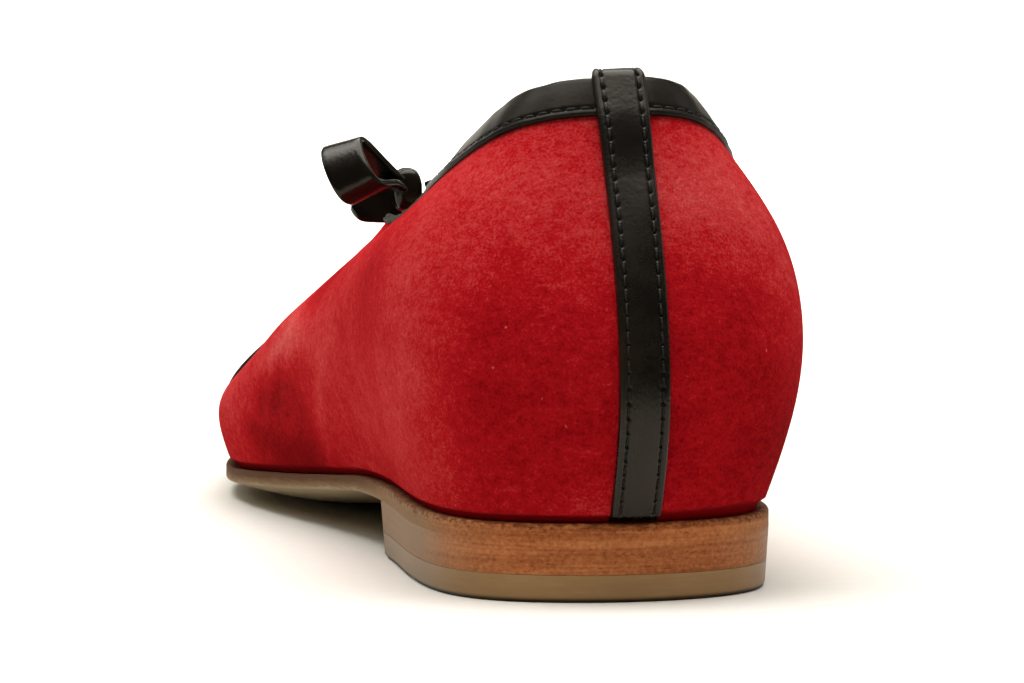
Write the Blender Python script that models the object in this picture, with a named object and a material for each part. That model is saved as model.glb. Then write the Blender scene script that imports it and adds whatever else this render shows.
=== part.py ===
"""Ballet flat for a left foot: red suede upper edged in black leather, thin sole, low stacked heel, bow.

Everything is drawn in millimetres and scaled to metres as each mesh is made. The toe points to +y,
the outer (lateral) side of the foot is at -x, the floor is z = 0 and the heel curve touches y = 0.
"""

import math

import bmesh
import bpy
import numpy as np

MM = 0.001

# Sizes of the last, from which the sections are worked out
LENGTH = 246.0
BALL_WIDTH = 75.0
BACK_HEIGHT = 56.9

# Thicknesses of the materials, and the clearances between pieces
SUEDE_WALL = 1.6
TRIM = 0.8
STRAP = 0.9
CAP = 0.8
RIBBON = 1.2
OUTSOLE = 2.3
INSOLE = 1.5
TOP_PIECE = 3.6
FIT = 0.3
CAP_FIT = 0.4
SEAM = 0.1

# Heel and sole
HEEL_RISE = 8.0
HEEL_BREAST = 67.0
BREAST_HOLLOW = 2.0
HEEL_TAPER = 0.5
SOLE_MARGIN = 0.8

# Trim and bow
BAND_BACK = 5.2
BAND_SIDE = 6.2
BAND_FRONT = 1.2
BAND_INSIDE = 5.0
STRAP_WIDTH = 6.7
STRAP_INSIDE = 8.0
CAP_LINE = 197.0
RIBBON_WIDTH = 7.0

# How finely the surfaces are divided
AROUND = 88
UP_THE_WALL = 13
UP_THE_CAP = 9

# One section of the last a row, going round from the centre back by the lateral side to the toe and home
# by the medial side. across: feather edge from the centre line, % of half the ball width. along: feather
# edge from the heel, % of the length. overhang, bulge: how far the wall leans out past the feather edge
# and how high above it, mm. shoulder: where the wall turns over, % of the way from bulge to topline, and
# crown: how far it stands off that straight line, mm. top_across, top_along, top_rise: the topline, the
# last as % of the back height above the seat.
RIBS = (
    # across along overhang bulge shoulder crown top_across top_along top_rise
    ("centre_back", 0, 1.7, 4.2, 15, 50, 2.6, 0, 7.1, 100),
    ("lateral_corner", -46.5, 3.5, 3.6, 18, 50, 3.2, -28, 8.7, 97.5),
    ("lateral_heel", -64.8, 11, 4.4, 21, 50, 4.0, -46, 14.6, 84.2),
    ("lateral_seat", -65.5, 24.4, 5.6, 20, 50, 4.2, -50.5, 25.2, 72.5),
    ("lateral_waist", -73.5, 39.4, 5.6, 17, 50, 3.6, -50.5, 35.8, 66),
    ("lateral_joint", -92, 54.9, 4.0, 12, 48, 2.2, -48, 45.5, 63.5),
    ("lateral_ball", -100, 67.1, 2.2, 9, 42, -0.2, -42.5, 54, 63),
    ("lateral_toe", -83, 83.7, 1.6, 8, 27, 1.7, -33, 60.5, 61.5),
    ("lateral_tip", -44, 95.5, 1.6, 8, 23, 3.2, -20.5, 64.2, 60.5),
    ("toe_tip", 5, 99.2, 1.8, 8, 20, 3.4, -2, 65.4, 60),
    ("medial_tip", 50, 95.1, 1.6, 8, 23, 3.2, 17.5, 64.2, 60.5),
    ("medial_toe", 81, 83.7, 1.6, 8, 30, 2.8, 34, 60.5, 62),
    ("medial_ball", 95.5, 69.1, 2.2, 9, 42, 2.4, 47, 54, 64.5),
    ("medial_joint", 78.5, 54.9, 4.6, 13, 48, 3.2, 53.5, 45.5, 66.5),
    ("medial_waist", 60, 39.8, 6.4, 18, 50, 3.8, 53.5, 35.8, 69.5),
    ("medial_seat", 60, 24.4, 6.0, 21, 50, 3.6, 49.5, 25.2, 75),
    ("medial_heel", 58, 12.2, 5.4, 21, 50, 3.9, 40.5, 14.6, 86),
    ("medial_corner", 41, 4.8, 5.0, 18, 50, 3.2, 23.5, 8.7, 98.5),
)

# The sole's underside: % of the length, then the rise over the floor at the edge and along the middle, mm
SOLE_LINE = (
    (0, HEEL_RISE, HEEL_RISE),
    (28, HEEL_RISE, HEEL_RISE),
    (34, 7.8, 7.5),
    (40, 6.8, 5.9),
    (49, 5.2, 3.0),
    (60, 3.6, 0.5),
    (66, 2.9, 0),
    (78, 2.4, 0),
    (85, 3.2, 0.9),
    (93.5, 5.2, 3.0),
    (102, 8.2, 6.4),
)

# Each ribbon loop of the bow: reach from the knot, half height, its direction out from the knot, the
# direction of the ribbon's width where it turns back, and its twist from the upper run to the lower
LOOPS = {
    "bow_loop_lateral": (12.6, 6.2, (-0.73, -0.66, 0.29), (0.92, -0.26, 0.46), 0.6),
    "bow_loop_medial": (18.0, 5.0, (0.82, -0.35, 0.07), (-0.38, -0.92, 0.10), 0.2),
}
# Each ribbon tail: its path from the knot, through the middle, to the end over the vamp, and the ways that
# its face looks at the knot and at the end
TAILS = {
    "bow_tail_lateral": (
        (-9, 170.5, 47.2), (-13, 170.4, 47.2), (-17.6, 169.6, 47.9), (0, -1, 0.1), (-0.1, -0.9, 0.4)
    ),
    "bow_tail_medial": ((-8.2, 168, 44.5), (0.5, 171.5, 44.3), (9, 178.5, 42.4), (0, 0.3, 1), (0, 0.3, 1)),
}
KNOT_CENTRE = (-9.15, 166.2, 49.4)
KNOT_SIZE = (4.8, 6.6, 7.0)

COLOURS = {
    "suede": ((0.42, 0.008, 0.013, 1), 0.95),
    "black_leather": ((0.012, 0.011, 0.010, 1), 0.38),
    "sole_leather": ((0.52, 0.40, 0.28, 1), 0.55),
    "stacked_leather": ((0.30, 0.13, 0.058, 1), 0.42),
    "heel_rubber": ((0.24, 0.18, 0.13, 1), 0.60),
    "lining_leather": ((0.60, 0.46, 0.33, 1), 0.60),
}


# The last


def sole_rise(y, column):
    """Height of the sole's underside at y: column 1 at the edge, column 2 along the middle."""
    table = np.array(SOLE_LINE)
    stations = table[:, 0] * LENGTH / 100
    heights = table[:, column]
    run = np.diff(stations)
    slope = np.diff(heights) / run
    tangent = np.zeros(len(stations))
    tangent[-1] = slope[-1]
    near, far = slope[:-1], slope[1:]
    np.divide(2 * near * far, near + far, out=tangent[1:-1], where=near * far > 0)
    y = np.clip(y, stations[0], stations[-1])
    i = np.clip(np.searchsorted(stations, y) - 1, 0, len(run) - 1)
    t = (y - stations[i]) / run[i]
    ends = (1 + 2 * t) * (1 - t) ** 2 * heights[i] + t * t * (3 - 2 * t) * heights[i + 1]
    return ends + run[i] * t * (1 - t) * ((1 - t) * tangent[i] - t * tangent[i + 1])


def closed_spline(knots, rows):
    """Smooth closed curve through the rows, one at each knot, as a function of u from 0 to 1."""
    count = len(rows)
    knots = np.append(knots, 1.0)
    span = np.diff(knots)
    system = np.zeros((count, count))
    turn = np.zeros_like(rows)
    for i in range(count):
        after = (i + 1) % count
        system[i, i - 1] += span[i - 1] / 6
        system[i, i] += (span[i - 1] + span[i]) / 3
        system[i, after] += span[i] / 6
        turn[i] = (rows[after] - rows[i]) / span[i] - (rows[i] - rows[i - 1]) / span[i - 1]
    bend = np.linalg.solve(system, turn)

    def curve(u):
        u = np.mod(u, 1.0)
        i = np.searchsorted(knots, u, side="right") - 1
        after = (i + 1) % count
        b = ((u - knots[i]) / span[i])[..., None]
        a = 1 - b
        pull = (a**3 - a) * bend[i] + (b**3 - b) * bend[after]
        return a * rows[i] + b * rows[after] + pull * span[i][..., None] ** 2 / 6

    return curve


def last_sections():
    """The section table in millimetres as a closed spline, and the value of u at each named section."""
    table = np.array([row[1:] for row in RIBS], float)
    half_ball = BALL_WIDTH / 200
    table[:, [0, 6]] *= half_ball
    table[:, [1, 7]] *= LENGTH / 100
    table[:, 4] /= 100
    table[:, 8] = HEEL_RISE + OUTSOLE + table[:, 8] * BACK_HEIGHT / 100
    middle = (table[:, 0:2] + table[:, 6:8]) / 2
    step = np.linalg.norm(np.roll(middle, -1, axis=0) - middle, axis=1) ** 0.8
    knots = (np.cumsum(step) - step) / step.sum()
    return closed_spline(knots, table), {row[0]: knot for row, knot in zip(RIBS, knots)}


section, U = last_sections()


def outward(u):
    """Level direction square to the feather edge, away from the foot."""
    ahead = section(u + 1e-4)[..., :2] - section(u - 1e-4)[..., :2]
    ahead /= np.linalg.norm(ahead, axis=-1, keepdims=True)
    return np.stack([-ahead[..., 1], ahead[..., 0], np.zeros(np.shape(u))], axis=-1)


def section_points(u):
    """The four points that each section of the wall runs through, from the feather edge to the topline."""
    c = section(u)
    out = outward(u)
    up = np.array([0.0, 0.0, 1.0])
    seat = sole_rise(c[..., 1], 1) + OUTSOLE + FIT
    feather = np.stack([c[..., 0], c[..., 1], seat], axis=-1)
    bulge = feather + out * c[..., 2:3] + up * c[..., 3:4]
    top = c[..., 6:9]
    reach = np.linalg.norm(top - bulge, axis=-1, keepdims=True)
    along = (top - bulge) / reach
    crown = out + up - np.sum((out + up) * along, axis=-1, keepdims=True) * along
    crown /= np.linalg.norm(crown, axis=-1, keepdims=True)
    shoulder = bulge + along * reach * c[..., 4:5] + crown * c[..., 5:6]
    return np.stack([feather, bulge, shoulder, top], axis=-2)


def skin(u, s):
    """Outside of the upper: section u round the foot, s from 0 at the feather edge to 1 at the topline."""
    u, s = np.broadcast_arrays(u, s)
    p = section_points(u)
    step = np.diff(p, axis=-2)
    chord = np.linalg.norm(step, axis=-1) ** 0.75
    knots = np.cumsum(chord, axis=-1) / np.sum(chord, axis=-1, keepdims=True)
    knots = np.concatenate([np.zeros_like(knots[..., :1]), knots], axis=-1)
    h = np.diff(knots, axis=-1)
    slope = step / h[..., None]
    first = 6 * (slope[..., 1, :] - slope[..., 0, :])
    second = 6 * (slope[..., 2, :] - slope[..., 1, :])
    a = 2 * (h[..., 0] + h[..., 1])[..., None]
    b = h[..., 1][..., None]
    c = 2 * (h[..., 1] + h[..., 2])[..., None]
    bend_1 = (c * first - b * second) / (a * c - b * b)
    bend_2 = (a * second - b * first) / (a * c - b * b)
    bend = np.stack([np.zeros_like(bend_1), bend_1, bend_2, np.zeros_like(bend_1)], axis=-2)
    i = np.sum(s[..., None] >= knots[..., 1:3], axis=-1)[..., None]
    k0 = np.take_along_axis(knots, i, axis=-1)
    width = np.take_along_axis(knots, i + 1, axis=-1) - k0
    f = (s[..., None] - k0) / width
    g = 1 - f
    i = i[..., None]
    p0, p1 = (np.take_along_axis(p, j, axis=-2)[..., 0, :] for j in (i, i + 1))
    m0, m1 = (np.take_along_axis(bend, j, axis=-2)[..., 0, :] for j in (i, i + 1))
    return g * p0 + f * p1 + ((g**3 - g) * m0 + (f**3 - f) * m1) * width**2 / 6


def normal(u, s):
    """Direction straight out of the upper."""
    e = 1e-3
    round_foot = skin(u + e, s) - skin(u - e, s)
    up_wall = skin(u, np.minimum(s + e, 1)) - skin(u, np.maximum(s - e, 0))
    n = np.cross(up_wall, round_foot)
    return n / np.linalg.norm(n, axis=-1, keepdims=True)


def below_topline(u, distances):
    """The s of a line that runs these distances below the topline, measured along the wall at each u."""
    s = np.linspace(1, 0, 201)
    wall = skin(np.asarray(u)[:, None], s)
    length = np.cumsum(np.linalg.norm(np.diff(wall, axis=1), axis=-1), axis=1)
    return np.array([np.interp(d, np.append(0, row), s) for d, row in zip(distances, length)])


# Meshes


def add_piece(name, points, faces, colour):
    """One closed solid, given in millimetres, as a named object with its own material."""
    mesh = bpy.data.meshes.new(name)
    mesh.from_pydata((np.asarray(points) * MM).tolist(), [], faces)
    work = bmesh.new()
    work.from_mesh(mesh)
    bmesh.ops.recalc_face_normals(work, faces=work.faces)
    work.to_mesh(mesh)
    work.free()
    mesh.shade_smooth()
    mesh.set_sharp_from_angle(angle=math.radians(42))
    material = bpy.data.materials.new(name)
    material.use_nodes = True
    shader = material.node_tree.nodes["Principled BSDF"]
    base, roughness = COLOURS[colour]
    shader.inputs["Base Color"].default_value = base
    shader.inputs["Roughness"].default_value = roughness
    shader.inputs["Metallic"].default_value = 0.0
    mesh.materials.append(material)
    piece = bpy.data.objects.new(name, mesh)
    bpy.context.scene.collection.objects.link(piece)
    piece.parent = shoe
    return piece


def add_hoop(name, loops, colour):
    """A closed cross-section carried right round the shoe: loops[i] is the cross-section at section i."""
    count, size = loops.shape[:2]
    faces = []
    for i in range(count):
        here, there = i * size, (i + 1) % count * size
        for j in range(size):
            k = (j + 1) % size
            faces.append((here + j, here + k, there + k, there + j))
    return add_piece(name, loops.reshape(-1, 3), faces, colour)


def add_sheet(name, outside, inside, colour):
    """A sheet of leather between two grids of points, closed along its four edges."""
    rows, columns = outside.shape[:2]
    half = rows * columns
    faces = []
    for r in range(rows - 1):
        for c in range(columns - 1):
            a, b = r * columns + c, (r + 1) * columns + c
            faces.append((a, a + 1, b + 1, b))
            faces.append((half + a, half + b, half + b + 1, half + a + 1))
    edge = list(range(columns))
    edge += [r * columns + columns - 1 for r in range(1, rows)]
    edge += [(rows - 1) * columns + c for c in range(columns - 2, -1, -1)]
    edge += [r * columns for r in range(rows - 2, 0, -1)]
    for a, b in zip(edge, edge[1:] + edge[:1]):
        faces.append((a, half + a, half + b, b))
    points = np.concatenate([outside.reshape(-1, 3), inside.reshape(-1, 3)])
    return add_piece(name, points, faces, colour)


def add_stack(name, rings, colour, ladder):
    """Rings of points joined one to the next, the end rings closed by rungs across or by one flat face."""
    size = len(rings[0])
    faces = []
    for level in range(len(rings) - 1):
        low, high = level * size, (level + 1) * size
        for i in range(size):
            k = (i + 1) % size
            faces.append((low + i, low + k, high + k, high + i))
    for start in (0, (len(rings) - 1) * size):
        if ladder:
            for i in range(size // 2):
                rung = (start + i, start + i + 1, start + size - i - 1, start + (size - i) % size)
                faces.append(tuple(dict.fromkeys(rung)))
        else:
            faces.append(tuple(range(start, start + size)))
    return add_piece(name, np.concatenate(rings), faces, colour)


for old in list(bpy.data.objects):
    bpy.data.objects.remove(old)
shoe = bpy.data.objects.new("ballet_flat", None)
bpy.context.scene.collection.objects.link(shoe)

sections_u = np.arange(AROUND) / AROUND


# Outsole and insole: one outline, domed under the forefoot, flat under the heel


def sole_ring(margin, share, lift):
    """Points round the sole: margin out from the feather edge, drawn in to this share of the half width."""
    edge = section(sections_u)[:, :2] + outward(sections_u)[:, :2] * margin
    low, high = edge[:, 1].min(), edge[:, 1].max()
    middle_y = low + (high - low) * (0.10 + 0.80 * (edge[:, 1] - low) / (high - low))
    other_side = edge[(-np.arange(AROUND)) % AROUND]
    middle = np.stack([(edge[:, 0] + other_side[:, 0]) / 2, middle_y], axis=1)
    flat = middle + (edge - middle) * share
    edge_rise, middle_rise = sole_rise(flat[:, 1], 1), sole_rise(flat[:, 1], 2)
    dome = np.clip((share - 0.5) / 0.5, 0, 1) ** 2
    return np.column_stack([flat, middle_rise + (edge_rise - middle_rise) * dome + lift])


def add_sole(name, margin, bottom, thickness, colour):
    under = [sole_ring(margin, share, bottom) for share in (0.5, 0.8, 1.0)]
    over = [sole_ring(margin, share, bottom + thickness) for share in (1.0, 0.8, 0.5)]
    return add_stack(name, under + over, colour, ladder=True)


add_sole("outsole", SOLE_MARGIN, 0, OUTSOLE, "sole_leather")
add_sole("insole", -SUEDE_WALL - FIT, OUTSOLE + FIT, INSOLE, "lining_leather")


# Heel: a stack of leather lifts and a top piece, cut off at the breast


def heel_ring(z):
    """Outline of the heel at this height, drawn in towards the floor."""
    inset = HEEL_TAPER * (1 - z / HEEL_RISE)
    around = np.linspace(-U["lateral_waist"], U["lateral_waist"], 161)
    edge = section(around)[:, :2] + outward(around)[:, :2] * (SOLE_MARGIN - inset)
    edge = edge[edge[:, 1] < HEEL_BREAST - inset][::4]
    lateral, medial = edge[-1], edge[0]
    t = np.linspace(0, 1, 7)[:, None]
    breast = lateral + (medial - lateral) * t
    breast[:, 1] = HEEL_BREAST - inset - BREAST_HOLLOW * 4 * (t * (1 - t))[:, 0]
    flat = np.concatenate([edge, breast])
    return np.column_stack([flat, np.full(len(flat), z)])


lifts = [heel_ring(TOP_PIECE + SEAM), heel_ring(HEEL_RISE - SEAM)]
add_stack("heel_stack", lifts, "stacked_leather", ladder=False)
add_stack("top_piece", [heel_ring(0), heel_ring(TOP_PIECE)], "heel_rubber", ladder=False)


# Upper: one wall of suede, open at the topline and underneath


def wall_levels(count):
    """Levels up the wall, closer together near the feather edge where the last turns under."""
    t = np.linspace(0, 1, count + 1)
    return 0.45 * t + 0.55 * t * t


level = wall_levels(UP_THE_WALL)
outside = skin(sections_u[:, None], level)
inside = outside - normal(sections_u[:, None], level) * SUEDE_WALL
inside[:, 0] = outside[:, 0] - outward(sections_u) * SUEDE_WALL
add_hoop("upper", np.concatenate([outside, inside[:, ::-1]], axis=1), "suede")


# Topline band: a strip of leather folded over the edge of the upper


def folded_over_edge(u, outer, inner, clearance):
    """A line from the outside of the wall, over the topline and down inside, this far off the suede."""
    u = np.asarray(u)[:, None]
    up_outside = skin(u, outer) + normal(u, outer) * clearance
    down_inside = skin(u, inner) - normal(u, inner) * (SUEDE_WALL + clearance)
    edge, n = skin(u, 1.0), normal(u, 1.0)
    rise = skin(u, 1.0) - skin(u, 0.99)
    rise /= np.linalg.norm(rise, axis=-1, keepdims=True)
    angle = np.radians([0, 50, 90, 130, 180])[:, None]
    over = n * np.cos(angle) * (SUEDE_WALL / 2 + clearance) + rise * np.sin(angle) * clearance * 1.15
    fold = edge - n * SUEDE_WALL / 2 + over
    return np.concatenate([up_outside, fold, down_inside], axis=1)


def band_width(u):
    """Height of the band outside, least at the centre back and round the throat."""
    from_back = np.minimum(u, 1 - np.asarray(u)) / U["lateral_heel"]
    at_side = (BAND_SIDE - BAND_FRONT) * np.exp(-((from_back / 1.4) ** 4))
    return BAND_FRONT + at_side - (BAND_SIDE - BAND_BACK) * np.exp(-((from_back / 0.5) ** 2))


def band_line(clearance):
    outer = below_topline(sections_u, band_width(sections_u))[:, None] * [1, 0.5] + [0, 0.5]
    inner = below_topline(sections_u, np.full(AROUND, BAND_INSIDE))[:, None]
    return folded_over_edge(sections_u, outer, inner, clearance)


band = np.concatenate([band_line(FIT), band_line(FIT + TRIM)[:, ::-1]], axis=1)
add_hoop("topline_band", band, "black_leather")


# Back strap: a strip down the centre back, over the band and folded inside


def strap_sheet(off_suede):
    """Grid over the strap: the face this far off the suede, stepping out over the band."""
    step_out = FIT + TRIM
    s_band = below_topline(np.zeros(1), [BAND_BACK])[0]
    s_inside = below_topline(np.zeros(1), [STRAP_INSIDE])[0]
    s_plain = np.append(np.linspace(0.012, s_band - 0.035, 9), s_band - 0.005)
    off_plain = off_suede + np.append(np.zeros(9), step_out)
    s_over = np.linspace(s_band + 0.05, 0.96, 2)
    across = np.linspace(-0.5, 0.5, 5) * STRAP_WIDTH
    stretch = np.linalg.norm(skin(1e-3, s_plain) - skin(-1e-3, s_plain), axis=-1) / 2e-3
    columns = []
    for x in across:
        u_plain = x / stretch
        lower = skin(u_plain, s_plain) + normal(u_plain, s_plain) * off_plain[:, None]
        top_stretch = np.linalg.norm(skin(1e-3, 1.0) - skin(-1e-3, 1.0)) / 2e-3
        upper = folded_over_edge([x / top_stretch], s_over, np.array([s_inside]), off_suede + step_out)[0]
        columns.append(np.concatenate([lower, upper]))
    return np.stack(columns, axis=1)


add_sheet("back_strap", strap_sheet(FIT + STRAP), strap_sheet(FIT), "black_leather")


# Toe cap: a leather cap over the end of the vamp, cut straight across


def cap_sheet(off_suede):
    """Grid over the cap, on the upper's own sections, from the feather edge up to the cap line."""
    lateral = np.linspace(U["lateral_ball"], U["toe_tip"], 400)
    medial = np.linspace(U["medial_ball"], U["toe_tip"], 400)
    ends = [np.interp(CAP_LINE + 1.2, section(side)[:, 1], side) for side in (lateral, medial)]
    between = (sections_u > ends[0] + 0.3 / AROUND) & (sections_u < ends[1] - 0.3 / AROUND)
    u = np.concatenate([ends[:1], sections_u[between], ends[1:]])
    s = np.linspace(0, 1, 301)
    edge = []
    for wall in skin(u[:, None], s)[..., 1]:
        front = wall.argmax()
        edge.append(np.interp(-CAP_LINE, -wall[front:], s[front:]))
    levels = np.array(edge)[:, None] * wall_levels(UP_THE_CAP)
    sheet = skin(u[:, None], levels) + normal(u[:, None], levels) * off_suede
    sheet[:, 0] = skin(u, 0.0) + outward(u) * off_suede
    return sheet


add_sheet("toe_cap", cap_sheet(CAP_FIT + CAP), cap_sheet(CAP_FIT), "black_leather")


# Bow: a knot on the throat, a loop to each side and two tails over the vamp


def unit(v):
    return np.asarray(v, float) / np.linalg.norm(v)


def ribbon_sheet(name, path, width_way, thickness, colour):
    """A ribbon along a path of points, its width spread along width_way at each of them."""
    way = width_way / np.linalg.norm(width_way, axis=1, keepdims=True)
    ahead = np.gradient(path, axis=0)
    face = np.cross(ahead, way)
    face /= np.linalg.norm(face, axis=1, keepdims=True)
    across = np.linspace(-0.5, 0.5, 3)[None, :, None] * RIBBON_WIDTH
    middle = path[:, None] + way[:, None] * across
    half = face[:, None] * thickness / 2
    return add_sheet(name, middle + half, middle - half, colour)


knot = np.array(KNOT_CENTRE)
for name, (reach, half_height, direction, turned_way, twist) in LOOPS.items():
    out = unit(direction)
    level_way = unit(np.cross(out, (0, 0, 1))) * math.copysign(1, out[0])
    rise = unit(np.cross(turned_way, out))
    rise *= math.copysign(1, rise[2])
    turn = 2 * np.pi * np.linspace(0.085, 0.915, 21)
    swell = (1 - np.cos(turn)) / 2
    height = half_height * np.sin(turn) * (0.24 + 1.1 * swell**2)
    start = knot + out * (KNOT_SIZE[0] / 2 + 1.5 - swell[0] * reach)
    path = start + out * (swell * reach)[:, None] + rise * height[:, None]
    width_way = level_way + (np.array(turned_way) - level_way) * swell[:, None]
    width_way[:, 2] += twist * swell * np.linspace(-1, 1, len(swell))
    ribbon_sheet(name, path, width_way, RIBBON, "black_leather")

for name, (start, middle, end, start_face, end_face) in TAILS.items():
    t = np.linspace(0, 1, 10)[:, None]
    near, half_way, far = 2 * (t - 0.5) * (t - 1), 4 * t * (1 - t), 2 * t * (t - 0.5)
    path = near * np.array(start) + half_way * np.array(middle) + far * np.array(end)
    face = (1 - t) * np.array(start_face) + t * np.array(end_face)
    width_way = np.cross(face, np.gradient(path, axis=0))
    ribbon_sheet(name, path, width_way, RIBBON, "black_leather")

turn = np.linspace(0, 2 * np.pi, 17)[:-1]
knot_rings = []
for slice_at, share in ((-0.5, 0.72), (-0.36, 0.95), (0, 1.05), (0.36, 0.95), (0.5, 0.72)):
    x = np.sign(np.cos(turn)) * np.abs(np.cos(turn)) ** 0.8 * KNOT_SIZE[0] / 2 * share
    z = np.sign(np.sin(turn)) * np.abs(np.sin(turn)) ** 0.8 * KNOT_SIZE[2] / 2 * share
    y = np.full(16, slice_at * KNOT_SIZE[1])
    knot_rings.append(knot + np.column_stack([x, y, z]))
add_stack("bow_knot", knot_rings, "black_leather", ladder=False)


# The shoe stands with the middle of its box over the origin

corners = np.array([v.co for piece in shoe.children for v in piece.data.vertices])
centre = (corners.min(axis=0) + corners.max(axis=0)) / 2
shoe.location = (-centre[0], -centre[1], 0)
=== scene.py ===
"""Looks of a ballet flat for a left foot: red suede edged in black leather, thin sole, stacked heel, bow.

The shoe is drawn in millimetres, with the toe to +y, the outer side of the foot to -x, the floor at z = 0
and the heel curve at y = 0. Each mesh is moved into the frame, in metres, as it is made.
"""

import math

import bmesh
import bpy
import numpy as np
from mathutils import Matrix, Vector


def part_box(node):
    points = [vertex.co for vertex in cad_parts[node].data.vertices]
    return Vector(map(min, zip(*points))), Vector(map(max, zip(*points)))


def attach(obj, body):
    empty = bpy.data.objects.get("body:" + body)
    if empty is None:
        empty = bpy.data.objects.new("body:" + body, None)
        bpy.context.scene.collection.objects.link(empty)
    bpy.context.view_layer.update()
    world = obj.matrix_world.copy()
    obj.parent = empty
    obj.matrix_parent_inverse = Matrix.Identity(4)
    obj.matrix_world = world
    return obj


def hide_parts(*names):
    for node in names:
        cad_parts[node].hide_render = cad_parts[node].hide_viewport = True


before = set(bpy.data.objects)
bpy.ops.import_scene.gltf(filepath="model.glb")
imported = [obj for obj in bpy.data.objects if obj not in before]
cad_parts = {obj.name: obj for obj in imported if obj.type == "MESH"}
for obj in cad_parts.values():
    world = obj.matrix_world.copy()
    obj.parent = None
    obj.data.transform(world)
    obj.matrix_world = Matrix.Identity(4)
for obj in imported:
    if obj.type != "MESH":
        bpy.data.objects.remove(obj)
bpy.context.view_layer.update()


# Upper
# One piece of red suede, closed at the centre back and pulled down over the last, so that it swells round
# the heel and draws in at the waist. Its edge is cemented under the insole, and it is open at the topline.

MM = 0.001
LENGTH = 246.0
BALL_WIDTH = 75.0
BACK_HEIGHT = 56.9
HEEL_RISE = 8.0
OUTSOLE = 2.3
WALL = 1.6
SUEDE = 1.0
FIT = 0.3  # left for cement between the pieces
SEATED = 0.25  # the foot of the suede, pressed down into that
TUCK = 0.8  # the wall drawn in just over the sole
TUCK_HEIGHT = 0.7
TUCK_AT_CORNER = 1.3  # its height at the inner back corner
CORNER_SPREAD = 0.03
TUCK_POWER = 6
SEAM_SHADE = 0.3  # painted shade in the nap's colour where the suede is drawn in
UPPER_AROUND = 560
UPPER_LEVELS = 96
INSIDE_LEVELS = 24
LEVELS_EVEN = 0.25  # share of the levels that is spaced evenly up the wall
AROUND_POWER = 0.8  # spacing of the sections: chord length to this power
UPWARD_POWER = 0.75  # the same for the points of one section

# One section of the last a row, going round from the centre back by the lateral side to the toe and home
# by the medial side. across: feather edge from the centre line, % of half the ball width. along: feather
# edge from the heel, % of the length. overhang, bulge: how far the wall leans out past the feather edge
# and how high above it, mm. shoulder: where the wall turns over, % of the way from bulge to topline, and
# crown: how far it stands off that straight line, mm. top_across, top_along, top_rise: the topline, the
# last as % of the back height above the seat.
RIBS = (
    # across along overhang bulge shoulder crown top_across top_along top_rise
    ("centre_back", 0, 1.7, 4.2, 15, 50, 2.6, 0, 7.1, 100),
    ("lateral_corner", -46.5, 3.5, 3.6, 18, 50, 3.2, -28, 8.7, 97.5),
    ("lateral_heel", -64.8, 11, 4.4, 21, 50, 4.0, -46, 14.6, 84.2),
    ("lateral_seat", -65.5, 24.4, 5.6, 20, 50, 4.2, -50.5, 25.2, 72.5),
    ("lateral_waist", -73.5, 39.4, 5.6, 17, 50, 3.6, -50.5, 35.8, 66),
    ("lateral_joint", -92, 54.9, 4.0, 12, 48, 2.2, -48, 45.5, 63.5),
    ("lateral_ball", -100, 67.1, 2.2, 9, 42, -0.2, -42.5, 54, 63),
    ("lateral_toe", -83, 83.7, 1.6, 8, 27, 1.7, -33, 60.5, 61.5),
    ("lateral_tip", -44, 95.5, 1.6, 8, 23, 3.2, -20.5, 64.2, 60.5),
    ("toe_tip", 5, 99.2, 1.8, 8, 20, 3.4, -2, 65.4, 60),
    ("medial_tip", 50, 95.1, 1.6, 8, 23, 3.2, 17.5, 64.2, 60.5),
    ("medial_toe", 81, 83.7, 1.6, 8, 30, 2.8, 34, 60.5, 62),
    ("medial_ball", 95.5, 69.1, 2.2, 9, 42, 2.4, 47, 54, 64.5),
    ("medial_joint", 78.5, 54.9, 4.6, 13, 48, 3.2, 53.5, 45.5, 66.5),
    ("medial_waist", 60, 39.8, 6.4, 18, 50, 3.8, 53.5, 35.8, 69.5),
    ("medial_seat", 60, 24.4, 6.0, 21, 50, 3.6, 49.5, 25.2, 75),
    ("medial_heel", 58, 12.2, 5.4, 21, 50, 3.9, 40.5, 14.6, 86),
    ("medial_corner", 41, 4.8, 5.0, 18, 50, 3.2, 23.5, 8.7, 98.5),
)

# The sole's underside: % of the length, then the rise over the floor at the edge and along the middle, mm
SOLE_LINE = (
    (0, HEEL_RISE, HEEL_RISE),
    (28, HEEL_RISE, HEEL_RISE),
    (34, 7.8, 7.5),
    (40, 6.8, 5.9),
    (49, 5.2, 3.0),
    (60, 3.6, 0.5),
    (66, 2.9, 0),
    (78, 2.4, 0),
    (85, 3.2, 0.9),
    (93.5, 5.2, 3.0),
    (102, 8.2, 6.4),
)


def sole_rise(y, column):
    """Height of the sole's underside at y: column 1 at the edge, column 2 along the middle."""
    table = np.array(SOLE_LINE)
    stations = table[:, 0] * LENGTH / 100
    heights = table[:, column]
    run = np.diff(stations)
    slope = np.diff(heights) / run
    tangent = np.zeros(len(stations))
    tangent[-1] = slope[-1]
    near, far = slope[:-1], slope[1:]
    np.divide(2 * near * far, near + far, out=tangent[1:-1], where=near * far > 0)
    y = np.clip(y, stations[0], stations[-1])
    i = np.clip(np.searchsorted(stations, y) - 1, 0, len(run) - 1)
    t = (y - stations[i]) / run[i]
    ends = (1 + 2 * t) * (1 - t) ** 2 * heights[i] + t * t * (3 - 2 * t) * heights[i + 1]
    return ends + run[i] * t * (1 - t) * ((1 - t) * tangent[i] - t * tangent[i + 1])


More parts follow.
